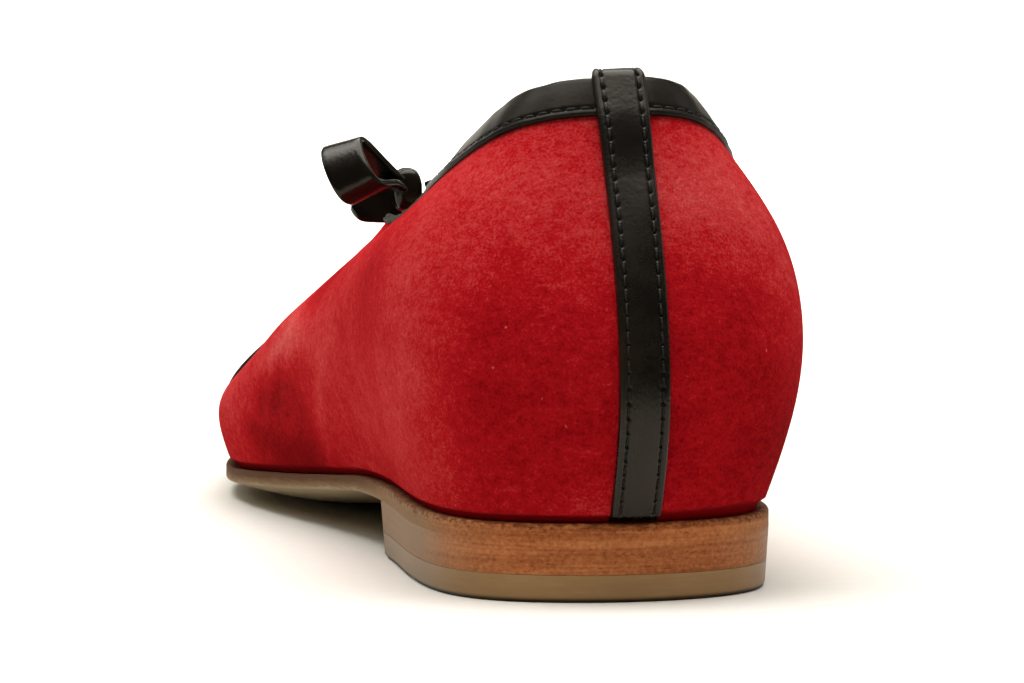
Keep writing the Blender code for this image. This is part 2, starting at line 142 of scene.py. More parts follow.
def closed_spline(knots, rows):
    """Smooth closed curve through the rows, one at each knot, as a function of u from 0 to 1."""
    count = len(rows)
    knots = np.append(knots, 1.0)
    span = np.diff(knots)
    system = np.zeros((count, count))
    turn = np.zeros_like(rows)
    for i in range(count):
        after = (i + 1) % count
        system[i, i - 1] += span[i - 1] / 6
        system[i, i] += (span[i - 1] + span[i]) / 3
        system[i, after] += span[i] / 6
        turn[i] = (rows[after] - rows[i]) / span[i] - (rows[i] - rows[i - 1]) / span[i - 1]
    bend = np.linalg.solve(system, turn)

    def curve(u):
        u = np.mod(u, 1.0)
        i = np.searchsorted(knots, u, side="right") - 1
        after = (i + 1) % count
        b = ((u - knots[i]) / span[i])[..., None]
        a = 1 - b
        pull = (a**3 - a) * bend[i] + (b**3 - b) * bend[after]
        return a * rows[i] + b * rows[after] + pull * span[i][..., None] ** 2 / 6

    return curve


def last_sections():
    """The section table in millimetres as a closed spline, and the value of u at each named section."""
    table = np.array([row[1:] for row in RIBS], float)
    half_ball = BALL_WIDTH / 200
    table[:, [0, 6]] *= half_ball
    table[:, [1, 7]] *= LENGTH / 100
    table[:, 4] /= 100
    table[:, 8] = HEEL_RISE + OUTSOLE + table[:, 8] * BACK_HEIGHT / 100
    middle = (table[:, 0:2] + table[:, 6:8]) / 2
    step = np.linalg.norm(np.roll(middle, -1, axis=0) - middle, axis=1) ** AROUND_POWER
    knots = (np.cumsum(step) - step) / step.sum()
    return closed_spline(knots, table), {row[0]: knot for row, knot in zip(RIBS, knots)}


section, U = last_sections()


def unit(v):
    return v / np.linalg.norm(v, axis=-1, keepdims=True)


def outward(u):
    """Level direction square to the feather edge, away from the foot."""
    nudge = 1e-4
    ahead = unit(section(u + nudge)[..., :2] - section(u - nudge)[..., :2])
    return np.stack([-ahead[..., 1], ahead[..., 0], np.zeros(np.shape(u))], axis=-1)


def section_points(u):
    """The four points that each section of the wall runs through, from the feather edge to the topline."""
    c = section(u)
    out = outward(u)
    up = np.array([0.0, 0.0, 1.0])
    seat = sole_rise(c[..., 1], 1) + OUTSOLE + FIT
    feather = np.stack([c[..., 0], c[..., 1], seat], axis=-1)
    bulge = feather + out * c[..., 2:3] + up * c[..., 3:4]
    top = c[..., 6:9]
    reach = np.linalg.norm(top - bulge, axis=-1, keepdims=True)
    along = (top - bulge) / reach
    crown = unit(out + up - np.sum((out + up) * along, axis=-1, keepdims=True) * along)
    shoulder = bulge + along * reach * c[..., 4:5] + crown * c[..., 5:6]
    return np.stack([feather, bulge, shoulder, top], axis=-2)


def skin(u, s):
    """Outside of the upper: section u round the foot, s from 0 at the feather edge to 1 at the topline."""
    u, s = np.broadcast_arrays(u, s)
    p = section_points(u)
    step = np.diff(p, axis=-2)
    chord = np.linalg.norm(step, axis=-1) ** UPWARD_POWER
    knots = np.cumsum(chord, axis=-1) / np.sum(chord, axis=-1, keepdims=True)
    knots = np.concatenate([np.zeros_like(knots[..., :1]), knots], axis=-1)
    h = np.diff(knots, axis=-1)
    slope = step / h[..., None]
    first = 6 * (slope[..., 1, :] - slope[..., 0, :])
    second = 6 * (slope[..., 2, :] - slope[..., 1, :])
    a = 2 * (h[..., 0] + h[..., 1])[..., None]
    b = h[..., 1][..., None]
    c = 2 * (h[..., 1] + h[..., 2])[..., None]
    bend_1 = (c * first - b * second) / (a * c - b * b)
    bend_2 = (a * second - b * first) / (a * c - b * b)
    bend = np.stack([np.zeros_like(bend_1), bend_1, bend_2, np.zeros_like(bend_1)], axis=-2)
    i = np.sum(s[..., None] >= knots[..., 1:3], axis=-1)[..., None]
    k0 = np.take_along_axis(knots, i, axis=-1)
    width = np.take_along_axis(knots, i + 1, axis=-1) - k0
    f = (s[..., None] - k0) / width
    g = 1 - f
    i = i[..., None]
    p0, p1 = (np.take_along_axis(p, j, axis=-2)[..., 0, :] for j in (i, i + 1))
    m0, m1 = (np.take_along_axis(bend, j, axis=-2)[..., 0, :] for j in (i, i + 1))
    return g * p0 + f * p1 + ((g**3 - g) * m0 + (f**3 - f) * m1) * width**2 / 6


def normal(u, s):
    """Direction straight out of the upper."""
    nudge = 1e-3
    round_foot = skin(u + nudge, s) - skin(u - nudge, s)
    up_wall = skin(u, np.minimum(s + nudge, 1)) - skin(u, np.maximum(s - nudge, 0))
    return unit(np.cross(up_wall, round_foot))


# The drawing is moved so that its upper lies on the frame's own
upper_low, upper_high = (np.array(corner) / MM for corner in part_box("upper"))
drawn = skin(np.linspace(0, 1, 300)[:, None], np.linspace(0, 1, 40)).reshape(-1, 3)
SHIFT = (upper_low + upper_high - drawn.min(axis=0) - drawn.max(axis=0)) / 2 * [1, 1, 0]


def sweep(loops, joined):
    """Faces over a run of closed cross-sections, joined back to the first or closed flat at both ends."""
    count, size = loops.shape[:2]
    index = np.arange(count * size).reshape(count, size)
    here = index if joined else index[:-1]
    ahead = np.roll(index, -1, axis=0) if joined else index[1:]
    quads = np.stack([here, np.roll(here, -1, axis=1), np.roll(ahead, -1, axis=1), ahead], axis=-1)
    faces = quads.reshape(-1, 4).tolist()
    if not joined:
        faces += [index[0].tolist(), index[-1].tolist()]
    return faces


def add_piece(name, points, faces, material, slot, *nodes, crisp=50):
    """One piece of the shoe, given in millimetres: it stands for these nodes and rides with the shoe."""
    mesh = bpy.data.meshes.new(name)
    mesh.from_pydata(((np.reshape(points, (-1, 3)) + SHIFT) * MM).tolist(), [], faces)
    work = bmesh.new()
    work.from_mesh(mesh)
    bmesh.ops.recalc_face_normals(work, faces=work.faces)
    work.to_mesh(mesh)
    work.free()
    mesh.shade_smooth()
    mesh.set_sharp_from_angle(angle=math.radians(crisp))
    mesh.materials.append(material)
    piece = bpy.data.objects.new(name, mesh)
    bpy.context.scene.collection.objects.link(piece)
    if nodes:
        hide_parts(*nodes)
    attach(piece, "root")
    return piece


def paint(piece, name, values):
    """Keep one value for each point of the piece's mesh, for its material to read."""
    piece.data.attributes.new(name, "FLOAT", "POINT").data.foreach_set("value", np.ravel(values))


class Finish:
    """A procedural material, built up from textures whose grain is given in millimetres on the shoe."""

    def __init__(self, name, sockets):
        self.material = bpy.data.materials.new(name)
        self.material.use_nodes = True
        self.tree = self.material.node_tree
        self.shader = self.tree.nodes["Principled BSDF"]
        self.place = self.add("TexCoord").outputs["Object"]
        self.put(self.shader, sockets)

    def put(self, node, sockets):
        for socket, value in sockets.items():
            if isinstance(value, bpy.types.NodeSocket):
                self.tree.links.new(value, node.inputs[socket])
            else:
                node.inputs[socket].default_value = value

    def add(self, kind, sockets=None, **settings):
        node = self.tree.nodes.new("ShaderNode" + kind)
        for setting, value in settings.items():
            setattr(node, setting, value)
        self.put(node, sockets or {})
        return node

    def spread(self, size, stretch):
        scale = [1 / (size * MM * part) for part in stretch]
        return self.add("Mapping", {"Vector": self.place, "Scale": scale}).outputs[0]

    def noise(self, size, detail=2.0, rough=0.5, stretch=(1, 1, 1)):
        sockets = {"Vector": self.spread(size, stretch), "Scale": 1.0, "Detail": detail, "Roughness": rough}
        return self.add("TexNoise", sockets).outputs[0]

    def cells(self, size):
        sockets = {"Vector": self.spread(size, (1, 1, 1)), "Scale": 1.0, "Smoothness": 0.6}
        return self.add("TexVoronoi", sockets, feature="SMOOTH_F1").outputs["Distance"]

    def painted(self, name):
        return self.add("Attribute", attribute_name=name).outputs["Fac"]

    def total(self, *terms):
        """Sum of textures, each with its weight."""
        so_far = 0.0
        for weight, texture in terms:
            sockets = {0: texture, 1: weight, 2: so_far}
            so_far = self.add("Math", sockets, operation="MULTIPLY_ADD").outputs[0]
        return so_far

    def ramp(self, texture, *stops):
        node = self.add("ValToRGB", {"Fac": texture})
        elements = node.color_ramp.elements
        for i, (position, colour) in enumerate(stops):
            element = elements[i] if i < 2 else elements.new(position)
            element.position = position
            element.color = (*colour, 1.0)
        return node.outputs["Color"]

    def mix(self, share, under, over):
        node = self.add("Mix", data_type="RGBA")
        self.put(node, {0: share, 6: under, 7: over})
        return node.outputs[2]

    def clip(self, texture, low, high, to_low, to_high):
        sockets = {"Value": texture, "From Min": low, "From Max": high}
        return self.add("MapRange", {**sockets, "To Min": to_low, "To Max": to_high}).outputs[0]

    def bump(self, *layers):
        """Relief, from layers of texture and depth in millimetres."""
        below = None
        for texture, depth in layers:
            sockets = {"Height": texture, "Distance": depth * MM, "Strength": 1.0}
            if below:
                sockets["Normal"] = below
            below = self.add("Bump", sockets).outputs[0]
        self.put(self.shader, {"Normal": below})


# Stops of the suede's tone. Where the patches push it, the dark stop is painted shade and the light and
# pale stops are painted highlight and sheen.
SUEDE_DARK = (0.178, 0.0016, 0.0036)
SUEDE_RED = (0.385, 0.0068, 0.0104)
SUEDE_LIGHT = (0.48, 0.040, 0.040)
SUEDE_PALE = (0.54, 0.100, 0.092)
SUEDE_FIBRE = (0.70, 0.17, 0.15)
SUEDE_SHEEN = (1.0, 0.42, 0.38, 1.0)


def suede_finish():
    """Nap brushed into soft light and dark patches, finely mottled, with a few pale fibres caught in it,
    and painted light and shade where the upper's patches lift or lower its tone.
    """
    suede = Finish("red_suede", {"Roughness": 0.92, "Specular IOR Level": 0.0})
    suede.put(suede.shader, {"Sheen Weight": 0.04, "Sheen Roughness": 0.4, "Sheen Tint": SUEDE_SHEEN})
    patches = suede.noise(22, 3, 0.55, (1.3, 1.6, 0.8))
    brushed = suede.noise(5.5, 3, 0.55, (1.0, 1.5, 0.8))
    mottled = suede.noise(1.2, 3, 0.6, (1.2, 1.2, 0.8))
    fibres = suede.noise(0.36, 3, 0.65)
    tone = suede.total(
        (0.26, patches), (0.16, brushed), (0.32, mottled), (0.52, fibres), (1.0, suede.painted("nap_and_painted_light"))
    )
    red = suede.ramp(tone, (0.40, SUEDE_DARK), (0.63, SUEDE_RED), (0.80, SUEDE_LIGHT), (1.0, SUEDE_PALE))
    lint = suede.clip(suede.noise(1.3, 1, 0.5), 0.79, 0.82, 0.0, 0.4)
    suede.put(suede.shader, {"Base Color": suede.mix(lint, red, (*SUEDE_FIBRE, 1.0))})
    suede.bump((brushed, 0.15), (mottled, 0.22), (fibres, 0.12))
    return suede.material


# Soft troughs (+) and ridges (-) drawn into the suede by lasting, and patches of the nap's tone, lighter
# (+) or darker (-): partly the nap lying light or dark, partly painted light, with painted sheen high on
# the wall and crest and painted shade low down and
# in the folds. side: -1 lateral, 1 medial. along: from the heel, mm. up: above the feather edge, mm. long,
# tall: half its spread
# along the shoe and up the wall, mm. lean: mm towards the toe per mm of rise.
CREASES = (
    # side along up long tall lean depth
    (-1, 114, 21, 14, 4.4, -0.4, -0.7),
    (-1, 88, 8, 9, 8, -0.9, -0.4),
    (-1, 124, 6, 14, 3.0, -0.3, -0.35),
    (-1, 116, 13, 3.0, 6, -0.9, 0.30),
    (-1, 125, 11, 2.8, 5, -0.8, 0.28),
    (-1, 104, 22, 15, 20, -0.4, 0.7),
    (1, 112, 12, 3.4, 10, -0.8, 0.40),
    (1, 121, 9, 3.0, 8, -0.7, 0.32),
    (1, 100, 22, 15, 20, -0.4, 0.8),
    (-1, 46, 30, 12, 9, 0.5, 0.25),
    (1, 46, 30, 12, 9, 0.5, 0.25),
)
# Painted light and shade in the nap's colour, with some of the nap's own tone
NAP_AND_PAINTED_LIGHT_PATCHES = (
    # side along up long tall lean tone
    (-1, 3, 17, 10, 17, 0.0, -0.10),
    (-1, 15, 25, 7, 12, 0.0, 0.06),
    (-1, 30, 20, 15, 16, 0.0, 0.08),
    (-1, 45, 9, 24, 8, 0.0, 0.06),
    (-1, 24, 44, 22, 9, 0.0, 0.12),
    (-1, 96, 20, 19, 16, -0.4, 0.17),
    (-1, 112, 20, 16, 5, -0.4, 0.20),
    (-1, 86, 9, 9, 8, -0.9, 0.12),
    (-1, 113, 12, 10, 5, -0.4, -0.03),
    (-1, 122, 5, 11, 4.5, 0.0, -0.06),
    (-1, 115, 2, 24, 6, 0.0, -0.17),
    (-1, 150, 30, 30, 11, 0.0, 0.20),
    (-1, 150, 13, 18, 9, 0.0, 0.10),
    (1, 4, 18, 14, 22, 0.0, -0.12),
    (1, 24, 6, 16, 11, 0.0, -0.20),
    (1, 14, 30, 8, 12, 0.0, 0.07),
    (1, 10, 44, 16, 8, 0.0, 0.12),
    (1, 105, 24, 20, 20, -0.4, 0.06),
    (1, 125, 4, 30, 6, 0.0, -0.12),
)


def bell(off):
    """1 in the middle, falling softly away to either side."""
    return np.exp(-np.square(off))


def soft_spots(table, points, side):
    """Sum of the spots in the table at points of the upper, each fading softly from its middle."""
    rise = points[..., 2] - sole_rise(points[..., 1], 1) - OUTSOLE - FIT
    total = np.zeros(rise.shape)
    for on_side, along, up, long, tall, lean, amount in table:
        off_along = (points[..., 1] - along - lean * (rise - up)) / long
        off_up = (rise - up) / tall
        total += np.where(side == on_side, amount, 0) * bell(off_along) * bell(off_up)
    return total


def wall_levels(count):
    """Levels up the wall, closer together near the feather edge where the last turns under."""
    t = np.linspace(0, 1, count)
    return LEVELS_EVEN * t + (1 - LEVELS_EVEN) * t * t


def tucked(u, points):
    """Points of the wall drawn in just over the sole, which leaves the dark line of the seam."""
    over_sole = points[..., 2] - skin(u, 0.0)[..., 2]
    at_corner = bell((u - U["medial_corner"]) / CORNER_SPREAD)
    height = TUCK_HEIGHT + (TUCK_AT_CORNER - TUCK_HEIGHT) * at_corner
    drawn_in = TUCK * np.exp(-((over_sole / height) ** TUCK_POWER))
    return points - outward(u) * drawn_in[..., None]


upper_u = np.arange(UPPER_AROUND)[:, None] / UPPER_AROUND
upper_side = np.where(upper_u < U["toe_tip"], -1, 1)
level = wall_levels(UPPER_LEVELS)
plain = skin(upper_u, level)
creased = plain - normal(upper_u, level) * soft_spots(CREASES, plain, upper_side)[..., None]
creased = tucked(upper_u, creased)
creased[:, 0, 2] -= SEATED


def inside_wall(u, s, depth):
    """Points this deep in the wall, level with the feather edge at its foot."""
    points = skin(u, s) - normal(u, s) * depth
    points[:, s == 0] = skin(u, 0.0) - outward(u) * depth
    return tucked(u, points)


level_in = wall_levels(INSIDE_LEVELS)
upper_loops = np.concatenate([creased, inside_wall(upper_u, level_in[::-1], SUEDE)], axis=1)
upper = add_piece("suede_upper", upper_loops, sweep(upper_loops, True), suede_finish(), "suede", "upper")
# The suede's painted light and shade: the patches above, and painted shade in the seam where the suede is
# drawn in
nap_and_painted_light = np.zeros(upper_loops.shape[:2])
nap_and_painted_light[:, :UPPER_LEVELS] = soft_spots(NAP_AND_PAINTED_LIGHT_PATCHES, plain, upper_side)
nap_and_painted_light[:, :UPPER_LEVELS] -= SEAM_SHADE * np.linalg.norm(creased - plain, axis=-1).clip(0, TUCK) / TUCK
paint(upper, "nap_and_painted_light", nap_and_painted_light)


# Lining
# Thin natural leather cemented inside the suede, from the feather edge up to the topline. The photograph
# doesn't show the inside, so it is finished plainly.

LINING_GLUE = 0.03
LINING_AROUND = UPPER_AROUND // 2
LINING_PALE = (0.62, 0.47, 0.33)
LINING_TAN = (0.50, 0.36, 0.24)


def natural_leather(name, pale, tan, roughness):
    """Undyed leather: slightly cloudy, with a fine close grain."""
    leather = Finish(name, {"Roughness": roughness, "Specular IOR Level": 0.35})
    clouds = leather.noise(14, 3, 0.6)
    grain = leather.cells(0.7)
    tone = leather.total((0.75, clouds), (0.25, leather.noise(0.9, 2)))
    leather.put(leather.shader, {"Base Color": leather.ramp(tone, (0.36, tan), (0.62, pale))})
    leather.bump((grain, 0.05), (leather.noise(3.0, 2), 0.05))
    return leather.material


lining_leather = natural_leather("lining_leather", LINING_PALE, LINING_TAN, 0.55)
lining_u = np.arange(LINING_AROUND)[:, None] / LINING_AROUND
lining_back = inside_wall(lining_u, level_in, SUEDE + LINING_GLUE)
lining_face = inside_wall(lining_u, level_in[::-1], WALL)
lining_loops = np.concatenate([lining_back, lining_face], axis=1)
add_piece("quarter_lining", lining_loops, sweep(lining_loops, True), lining_leather, "lining_leather")


# Topline band
# A strip of smooth black leather folded over the edge of the suede and its lining all the way round, and
# sewn through both near its lower edge.

BAND_THICK = 0.6
BAND_BACK = 5.2
BAND_SIDE = 6.2
BAND_FRONT = 1.2
BAND_INSIDE = 5.0
BAND_TAPERS = 1.4  # where it narrows to the front, as times the way from centre back to lateral_heel
BAND_DIPS = 0.5  # the same for the dip at the centre back
BAND_FULL = 4.5  # a narrower band is also thinner
BAND_NARROW_SHARE = 0.55
BAND_INNER_SHARE = 0.4  # thickness at the edge inside
BAND_DULLED = 0.5  # how much rougher it is where it is narrow
BAND_ROW = 1.1  # stitches above the lower edge
BAND_ROW_SHARE = 0.8  # the same, as a share of the width down from the topline
PITCH = 1.9
STEPS_PER_STITCH = 8
BAND_SAMPLES = 900
ROWS_TO_FOLD = 9
ROWS_INSIDE = 7
FOLD_RISE = 1.15
FOLD_STEPS = 11
LAID = 0.12  # clear of the suede
CUT_EDGE = 0.3  # radius of a cut edge
CUT_EDGE_SHARE = 0.25  # thickness at its very edge
# Depth and half width of the groove along the stitches, and depth, half width and half length of a hole
BAND_GROOVE = (0.15, 0.30)
BAND_HOLE = (0.28, 0.20, 0.22)
# Height of the soft roll over the stitches, its place above them and its half width
BAND_ROLL, BAND_ROLL_UP, BAND_ROLL_HALF = 0.10, 2.6, 1.6
# Waves along the band where it was pulled round the foot: height, length and start
PUCKERS = ((0.05, 13.0, 0.0), (0.035, 7.3, 1.0), (0.02, 4.1, 0.0))
POLISHED = 0.05  # how much smoother the leather is where it is worn least
SCUFFED = 0.06  # and how much rougher where most
BLACK = (0.0030, 0.0024, 0.0018)
BLACK_WORN = (0.0120, 0.0078, 0.0048)
LEATHER_GLOSS = (1.0, 0.93, 0.80, 1.0)


def below_topline(u, distance):
    """The s of points these distances below the topline, measured along the wall, a row for each u."""
    s = np.linspace(1, 0.5, 81)
    wall = skin(u[:, None], s)
    run = np.cumsum(np.linalg.norm(np.diff(wall, axis=1), axis=-1), axis=1)
    run = np.concatenate([np.zeros((len(u), 1)), run], axis=1)
    return np.stack([np.interp(d, row, s) for d, row in zip(distance, run)])


def fold_frame(u, outer, u_top, inner, steps):
    """Points from the outside of the wall over the topline and down inside, and the way off it at each."""
    edge, n = skin(u_top, 1.0), normal(u_top, 1.0)
    rise = unit(edge - skin(u_top, 0.99))
    angle = np.linspace(0, np.pi, steps)[1:-1, None]
    over = edge - n * WALL / 2 * (1 - np.cos(angle))
    over_way = n * np.cos(angle) + rise * np.sin(angle) * FOLD_RISE
    inner_way = -normal(u_top, inner)
    points = np.concatenate([skin(u, outer), over, skin(u_top, inner) + inner_way * WALL], axis=1)
    ways = np.concatenate([normal(u, outer), over_way, inner_way], axis=1)
    return points, ways


def cut_edge(distance, radius):
    """Share of the full thickness at this distance from a cut edge, which is rounded off."""
    inside = np.clip(distance / radius, 0, 1)
    return CUT_EDGE_SHARE + (1 - CUT_EDGE_SHARE) * np.sqrt(1 - (1 - inside) ** 2)


def sewn_down(from_row, from_hole, groove, hole):
    """How deep stitches draw the leather down: a groove along the row, and most of all at each hole."""
    depth, half_width = groove
    hole_depth, hole_half_width, hole_half_length = hole
    holes = hole_depth * bell(from_row / hole_half_width) * bell(from_hole / hole_half_length)
    return depth * bell(from_row / half_width) + holes


def band_width(u):
    """Height of the band outside, most at the sides of the heel and least round the throat."""
    from_back = np.minimum(u, 1 - u) / U["lateral_heel"]
    at_side = (BAND_SIDE - BAND_FRONT) * np.exp(-((from_back / BAND_TAPERS) ** 4))
    return BAND_FRONT + at_side - (BAND_SIDE - BAND_BACK) * bell(from_back / BAND_DIPS)


def run_along(path):
    """Length along a path up to each of its points."""
    return np.append(0, np.cumsum(np.linalg.norm(np.diff(path, axis=0), axis=1)))


def along_path(at, run, path):
    """The path's values at these lengths along it."""
    return np.stack([np.interp(at, run, column) for column in path.T], axis=-1)


def black_leather(name, roughness, shine):
    """Smooth black calf: a fine close grain, a soft sheen and a brown cast where it has been handled."""
    leather = Finish(name, {"Specular IOR Level": shine, "Specular Tint": LEATHER_GLOSS})
    handled = leather.noise(9, 3, 0.6)
    grain = leather.cells(0.55)
    pores = leather.noise(0.4, 3, 0.6)
    colour = leather.ramp(handled, (0.40, BLACK), (0.72, BLACK_WORN))
    wear = leather.total((0.7, handled), (0.3, pores))
    gloss = leather.clip(wear, 0.3, 0.7, roughness - POLISHED, roughness + SCUFFED)
    gloss = leather.total((1.0, gloss), (1.0, leather.painted("dulled")))
    leather.put(leather.shader, {"Base Color": colour, "Roughness": gloss})
    leather.bump((handled, 0.04), (grain, 0.014), (pores, 0.008))
    return leather.material


THREAD = 0.36
THREAD_STEPS = 9
THREAD_SIDES = 8
THREAD_BLACK = (0.003, 0.0026, 0.0022)
THREAD_WORN = (0.012, 0.010, 0.008)
STITCH_SHARE = 0.40  # half a stitch, as a share of the pitch
# As shares of the thread: how proud a stitch lies, how far its ends dip, and how much they thin
STITCH_PROUD = 0.15
STITCH_DIP = 0.62
STITCH_THINS = 0.35


def thread_finish():
    """Black waxed thread, twisted from finer strands."""
    thread = Finish("black_thread", {"Specular IOR Level": 0.2, "Roughness": 0.6})
    strand = thread.noise(0.16, 2, 0.5)
    colour = thread.ramp(strand, (0.3, THREAD_BLACK), (0.7, THREAD_WORN))
    thread.put(thread.shader, {"Base Color": colour})
    thread.bump((strand, 0.05))
    return thread.material


thread = thread_finish()


def add_stitches(name, path, up, count):
    """A row of stitches along the path, each one a short thread that dips into the leather at both ends."""
    run = run_along(path)
    step = run[-1] / count
    t = np.linspace(-1, 1, THREAD_STEPS)
    at = (np.arange(count)[:, None] + 0.5) * step + t * step * STITCH_SHARE
    centre, lift = along_path(at, run, path), along_path(at, run, up)
    side = unit(np.cross(np.gradient(centre, axis=1), lift))
    centre = centre + lift * (THREAD * (STITCH_PROUD - STITCH_DIP * t**4))[:, None]
    turn = np.linspace(0, 2 * np.pi, THREAD_SIDES, endpoint=False)[:, None]
    round_thread = lift[:, :, None] * np.cos(turn) + side[:, :, None] * np.sin(turn)
    radius = THREAD / 2 * (1 - STITCH_THINS * t**4)
    rings = centre[:, :, None] + round_thread * radius[:, None, None]
    one = sweep(rings[0], False)
    size = THREAD_STEPS * THREAD_SIDES
    faces = [[v + k * size for v in face] for k in range(count) for face in one]
    add_piece(name, rings, faces, thread, "black_leather")


# Sections of the band, a whole number of steps to each stitch
rough_u = np.linspace(0, 1, BAND_SAMPLES)
row_s = below_topline(rough_u, (band_width(rough_u) * BAND_ROW_SHARE)[:, None])
row_run = run_along(skin(rough_u, row_s[:, 0]))
band_stitches = round(row_run[-1] / PITCH)
band_sections = band_stitches * STEPS_PER_STITCH
band_u = np.interp(np.arange(band_sections) / band_sections, row_run / row_run[-1], rough_u)

# Rows of the band, by height over its lower edge: closest at the edge and round the stitches
near_edge = np.concatenate([[0, 0.05, 0.14, 0.28], np.linspace(0.5, 1.7, 9)])
to_fold = np.linspace(0, 1, ROWS_TO_FOLD)[1:]
width = band_width(band_u)[:, None]
drawn_in = np.minimum(1, width / BAND_FULL)
row_top = near_edge[-1] * drawn_in
band_up = np.concatenate([near_edge * drawn_in, row_top + (width - row_top) * to_fold], axis=1)
band_down = np.broadcast_to(np.linspace(0, BAND_INSIDE, ROWS_INSIDE), (band_sections, ROWS_INSIDE))
band_outer = below_topline(band_u, width - band_up)
band_inner = below_topline(band_u, band_down)
band_points, band_ways = fold_frame(band_u[:, None], band_outer, band_u[:, None], band_inner, FOLD_STEPS)

# Thickness: rounded at the cut edge, drawn down by the stitches, puckered, and thin at the edge inside
from_row = np.full(band_points.shape[:2], np.inf)
from_row[:, : band_up.shape[1]] = band_up - BAND_ROW * drawn_in
in_stitch = (np.arange(band_sections) % STEPS_PER_STITCH)[:, None]
from_hole = np.minimum(in_stitch, STEPS_PER_STITCH - in_stitch) * PITCH / STEPS_PER_STITCH
thick_here = BAND_THICK * (BAND_NARROW_SHARE + (1 - BAND_NARROW_SHARE) * drawn_in)
thick = np.broadcast_to(thick_here, band_points.shape[:2]).copy()
thick[:, : band_up.shape[1]] *= cut_edge(band_up, CUT_EDGE)
thick += BAND_ROLL * bell((from_row - BAND_ROLL_UP) / BAND_ROLL_HALF)
thick -= sewn_down(from_row, from_hole, BAND_GROOVE, BAND_HOLE)
turns = 2 * np.pi * np.interp(band_u, rough_u, row_run)[:, None]
for height, long, start in PUCKERS:
    thick += height * np.sin(turns / long + start)
thick[:, -1] *= BAND_INNER_SHARE
band_face = band_points + band_ways * (LAID + thick)[..., None]
band_back = band_points[:, ::-2] + band_ways[:, ::-2] * LAID
band_loops = np.concatenate([band_face, band_back], axis=1)
band_leather = black_leather("band_leather", 0.34, 0.12)
band_faces = sweep(band_loops, True)
band = add_piece("band_leather", band_loops, band_faces, band_leather, "black_leather", "topline_band")
paint(band, "dulled", np.broadcast_to(BAND_DULLED * (1 - drawn_in), band_loops.shape[:2]))
row_column = int(np.argmin(np.abs(near_edge - BAND_ROW)))
closing = np.append(np.arange(band_sections), 0)
sewn = closing, row_column
add_stitches("band_stitching", band_face[sewn], band_ways[sewn], band_stitches)


# Back strap
# A strip of the same black leather laid down the centre back over the closing seam. It runs over the band
# and folds inside, its lower end is skived thin and tucked in over the sole, and stitches hold each side.

STRAP = 0.9
STRAP_WIDTH = 6.7
STRAP_INSIDE = 8.0
STRAP_ROW = 1.15
STRAP_ROWS = 360
STRAP_ROWS_INSIDE = 40
STRAP_FOLD_STEPS = 25
STRAP_COLUMNS = 53
STRAP_CLOSER = 0.92  # columns stand closer to the sides: share of a quarter turn that they are spaced by
STEP_CLEAR = 0.08
STEP_OVER = LAID + BAND_THICK + STEP_CLEAR
STEP_FROM = BAND_BACK + 10.0  # where the strap starts to rise over the band, below the topline
STEP_LONG = 10.5
SKIVED = 1.3
SKIVED_AWAY = 0.85
STRAP_CUT_EDGE = 0.45
STRAP_CROWN = 0.05
# Height of the bead along each side, its place in from the side and its half width
STRAP_BEAD, STRAP_BEAD_IN, STRAP_BEAD_HALF = 0.07, 0.62, 0.30
STRAP_GROOVE = (0.16, 0.24)
STRAP_HOLE = (0.30, 0.20, 0.24)


def strap_frame(x):
    """Points and ways off the wall along strips of the strap at these distances from its centre line."""
    s = np.linspace(0.0, 1, STRAP_ROWS)[None]
    nudge = 1e-3
    stretch = np.linalg.norm(skin(nudge, s) - skin(-nudge, s), axis=-1) / (2 * nudge)
    u = x[:, None] / stretch
    outside = np.broadcast_to(s, u.shape)
    inside = below_topline(np.zeros(1), np.linspace(0, STRAP_INSIDE, STRAP_ROWS_INSIDE)[None])
    inside = np.broadcast_to(inside, (len(x), STRAP_ROWS_INSIDE))
    points, ways = fold_frame(u, outside, u[:, -1:], inside, STRAP_FOLD_STEPS)
    points[:, :STRAP_ROWS] = tucked(u, points[:, :STRAP_ROWS])
    return points, ways


def strap_step(middle):
    """How far the strap is lifted by the band under it, eased over the band's edge, for each row."""
    from_top = run_along(middle[:STRAP_ROWS])[-1] - run_along(middle[:STRAP_ROWS])
    eased = np.clip((STEP_FROM - from_top) / STEP_LONG, 0, 1)
    lifted = np.ones(len(middle))
    lifted[:STRAP_ROWS] = eased * eased * (3 - 2 * eased)
    return lifted * STEP_OVER


spacing = np.sin(np.linspace(-1, 1, STRAP_COLUMNS) * np.pi / 2 * STRAP_CLOSER)
strap_x = STRAP_WIDTH / 2 * spacing / spacing[-1]
strap_points, strap_ways = strap_frame(strap_x)
middle_points = strap_points[STRAP_COLUMNS // 2]
strap_lift = strap_step(middle_points)
middle_off = strap_ways[STRAP_COLUMNS // 2] * (strap_lift + LAID + STRAP)[:, None]
strap_run = run_along(middle_points + middle_off)
strap_stitches = round(strap_run[-1] / PITCH)
strap_pitch = strap_run[-1] / strap_stitches
from_side = STRAP_WIDTH / 2 - np.abs(strap_x)[:, None]
from_hole = np.abs(np.mod(strap_run + strap_pitch / 2, strap_pitch) - strap_pitch / 2)
across = STRAP * cut_edge(from_side, STRAP_CUT_EDGE)
across += STRAP_BEAD * bell((from_side - STRAP_BEAD_IN) / STRAP_BEAD_HALF)
across += STRAP_CROWN * np.cos(strap_x[:, None] / STRAP_WIDTH * np.pi)
uneven = 0.03 * np.sin(strap_run / 5.3) + 0.02 * np.sin(strap_run / 2.9 + strap_x[:, None])
strap_thick = across + uneven - sewn_down(from_side - STRAP_ROW, from_hole, STRAP_GROOVE, STRAP_HOLE)
strap_thick *= 1 - SKIVED_AWAY * bell(strap_run / SKIVED)
strap_face = strap_points + strap_ways * (strap_lift + LAID + strap_thick)[..., None]
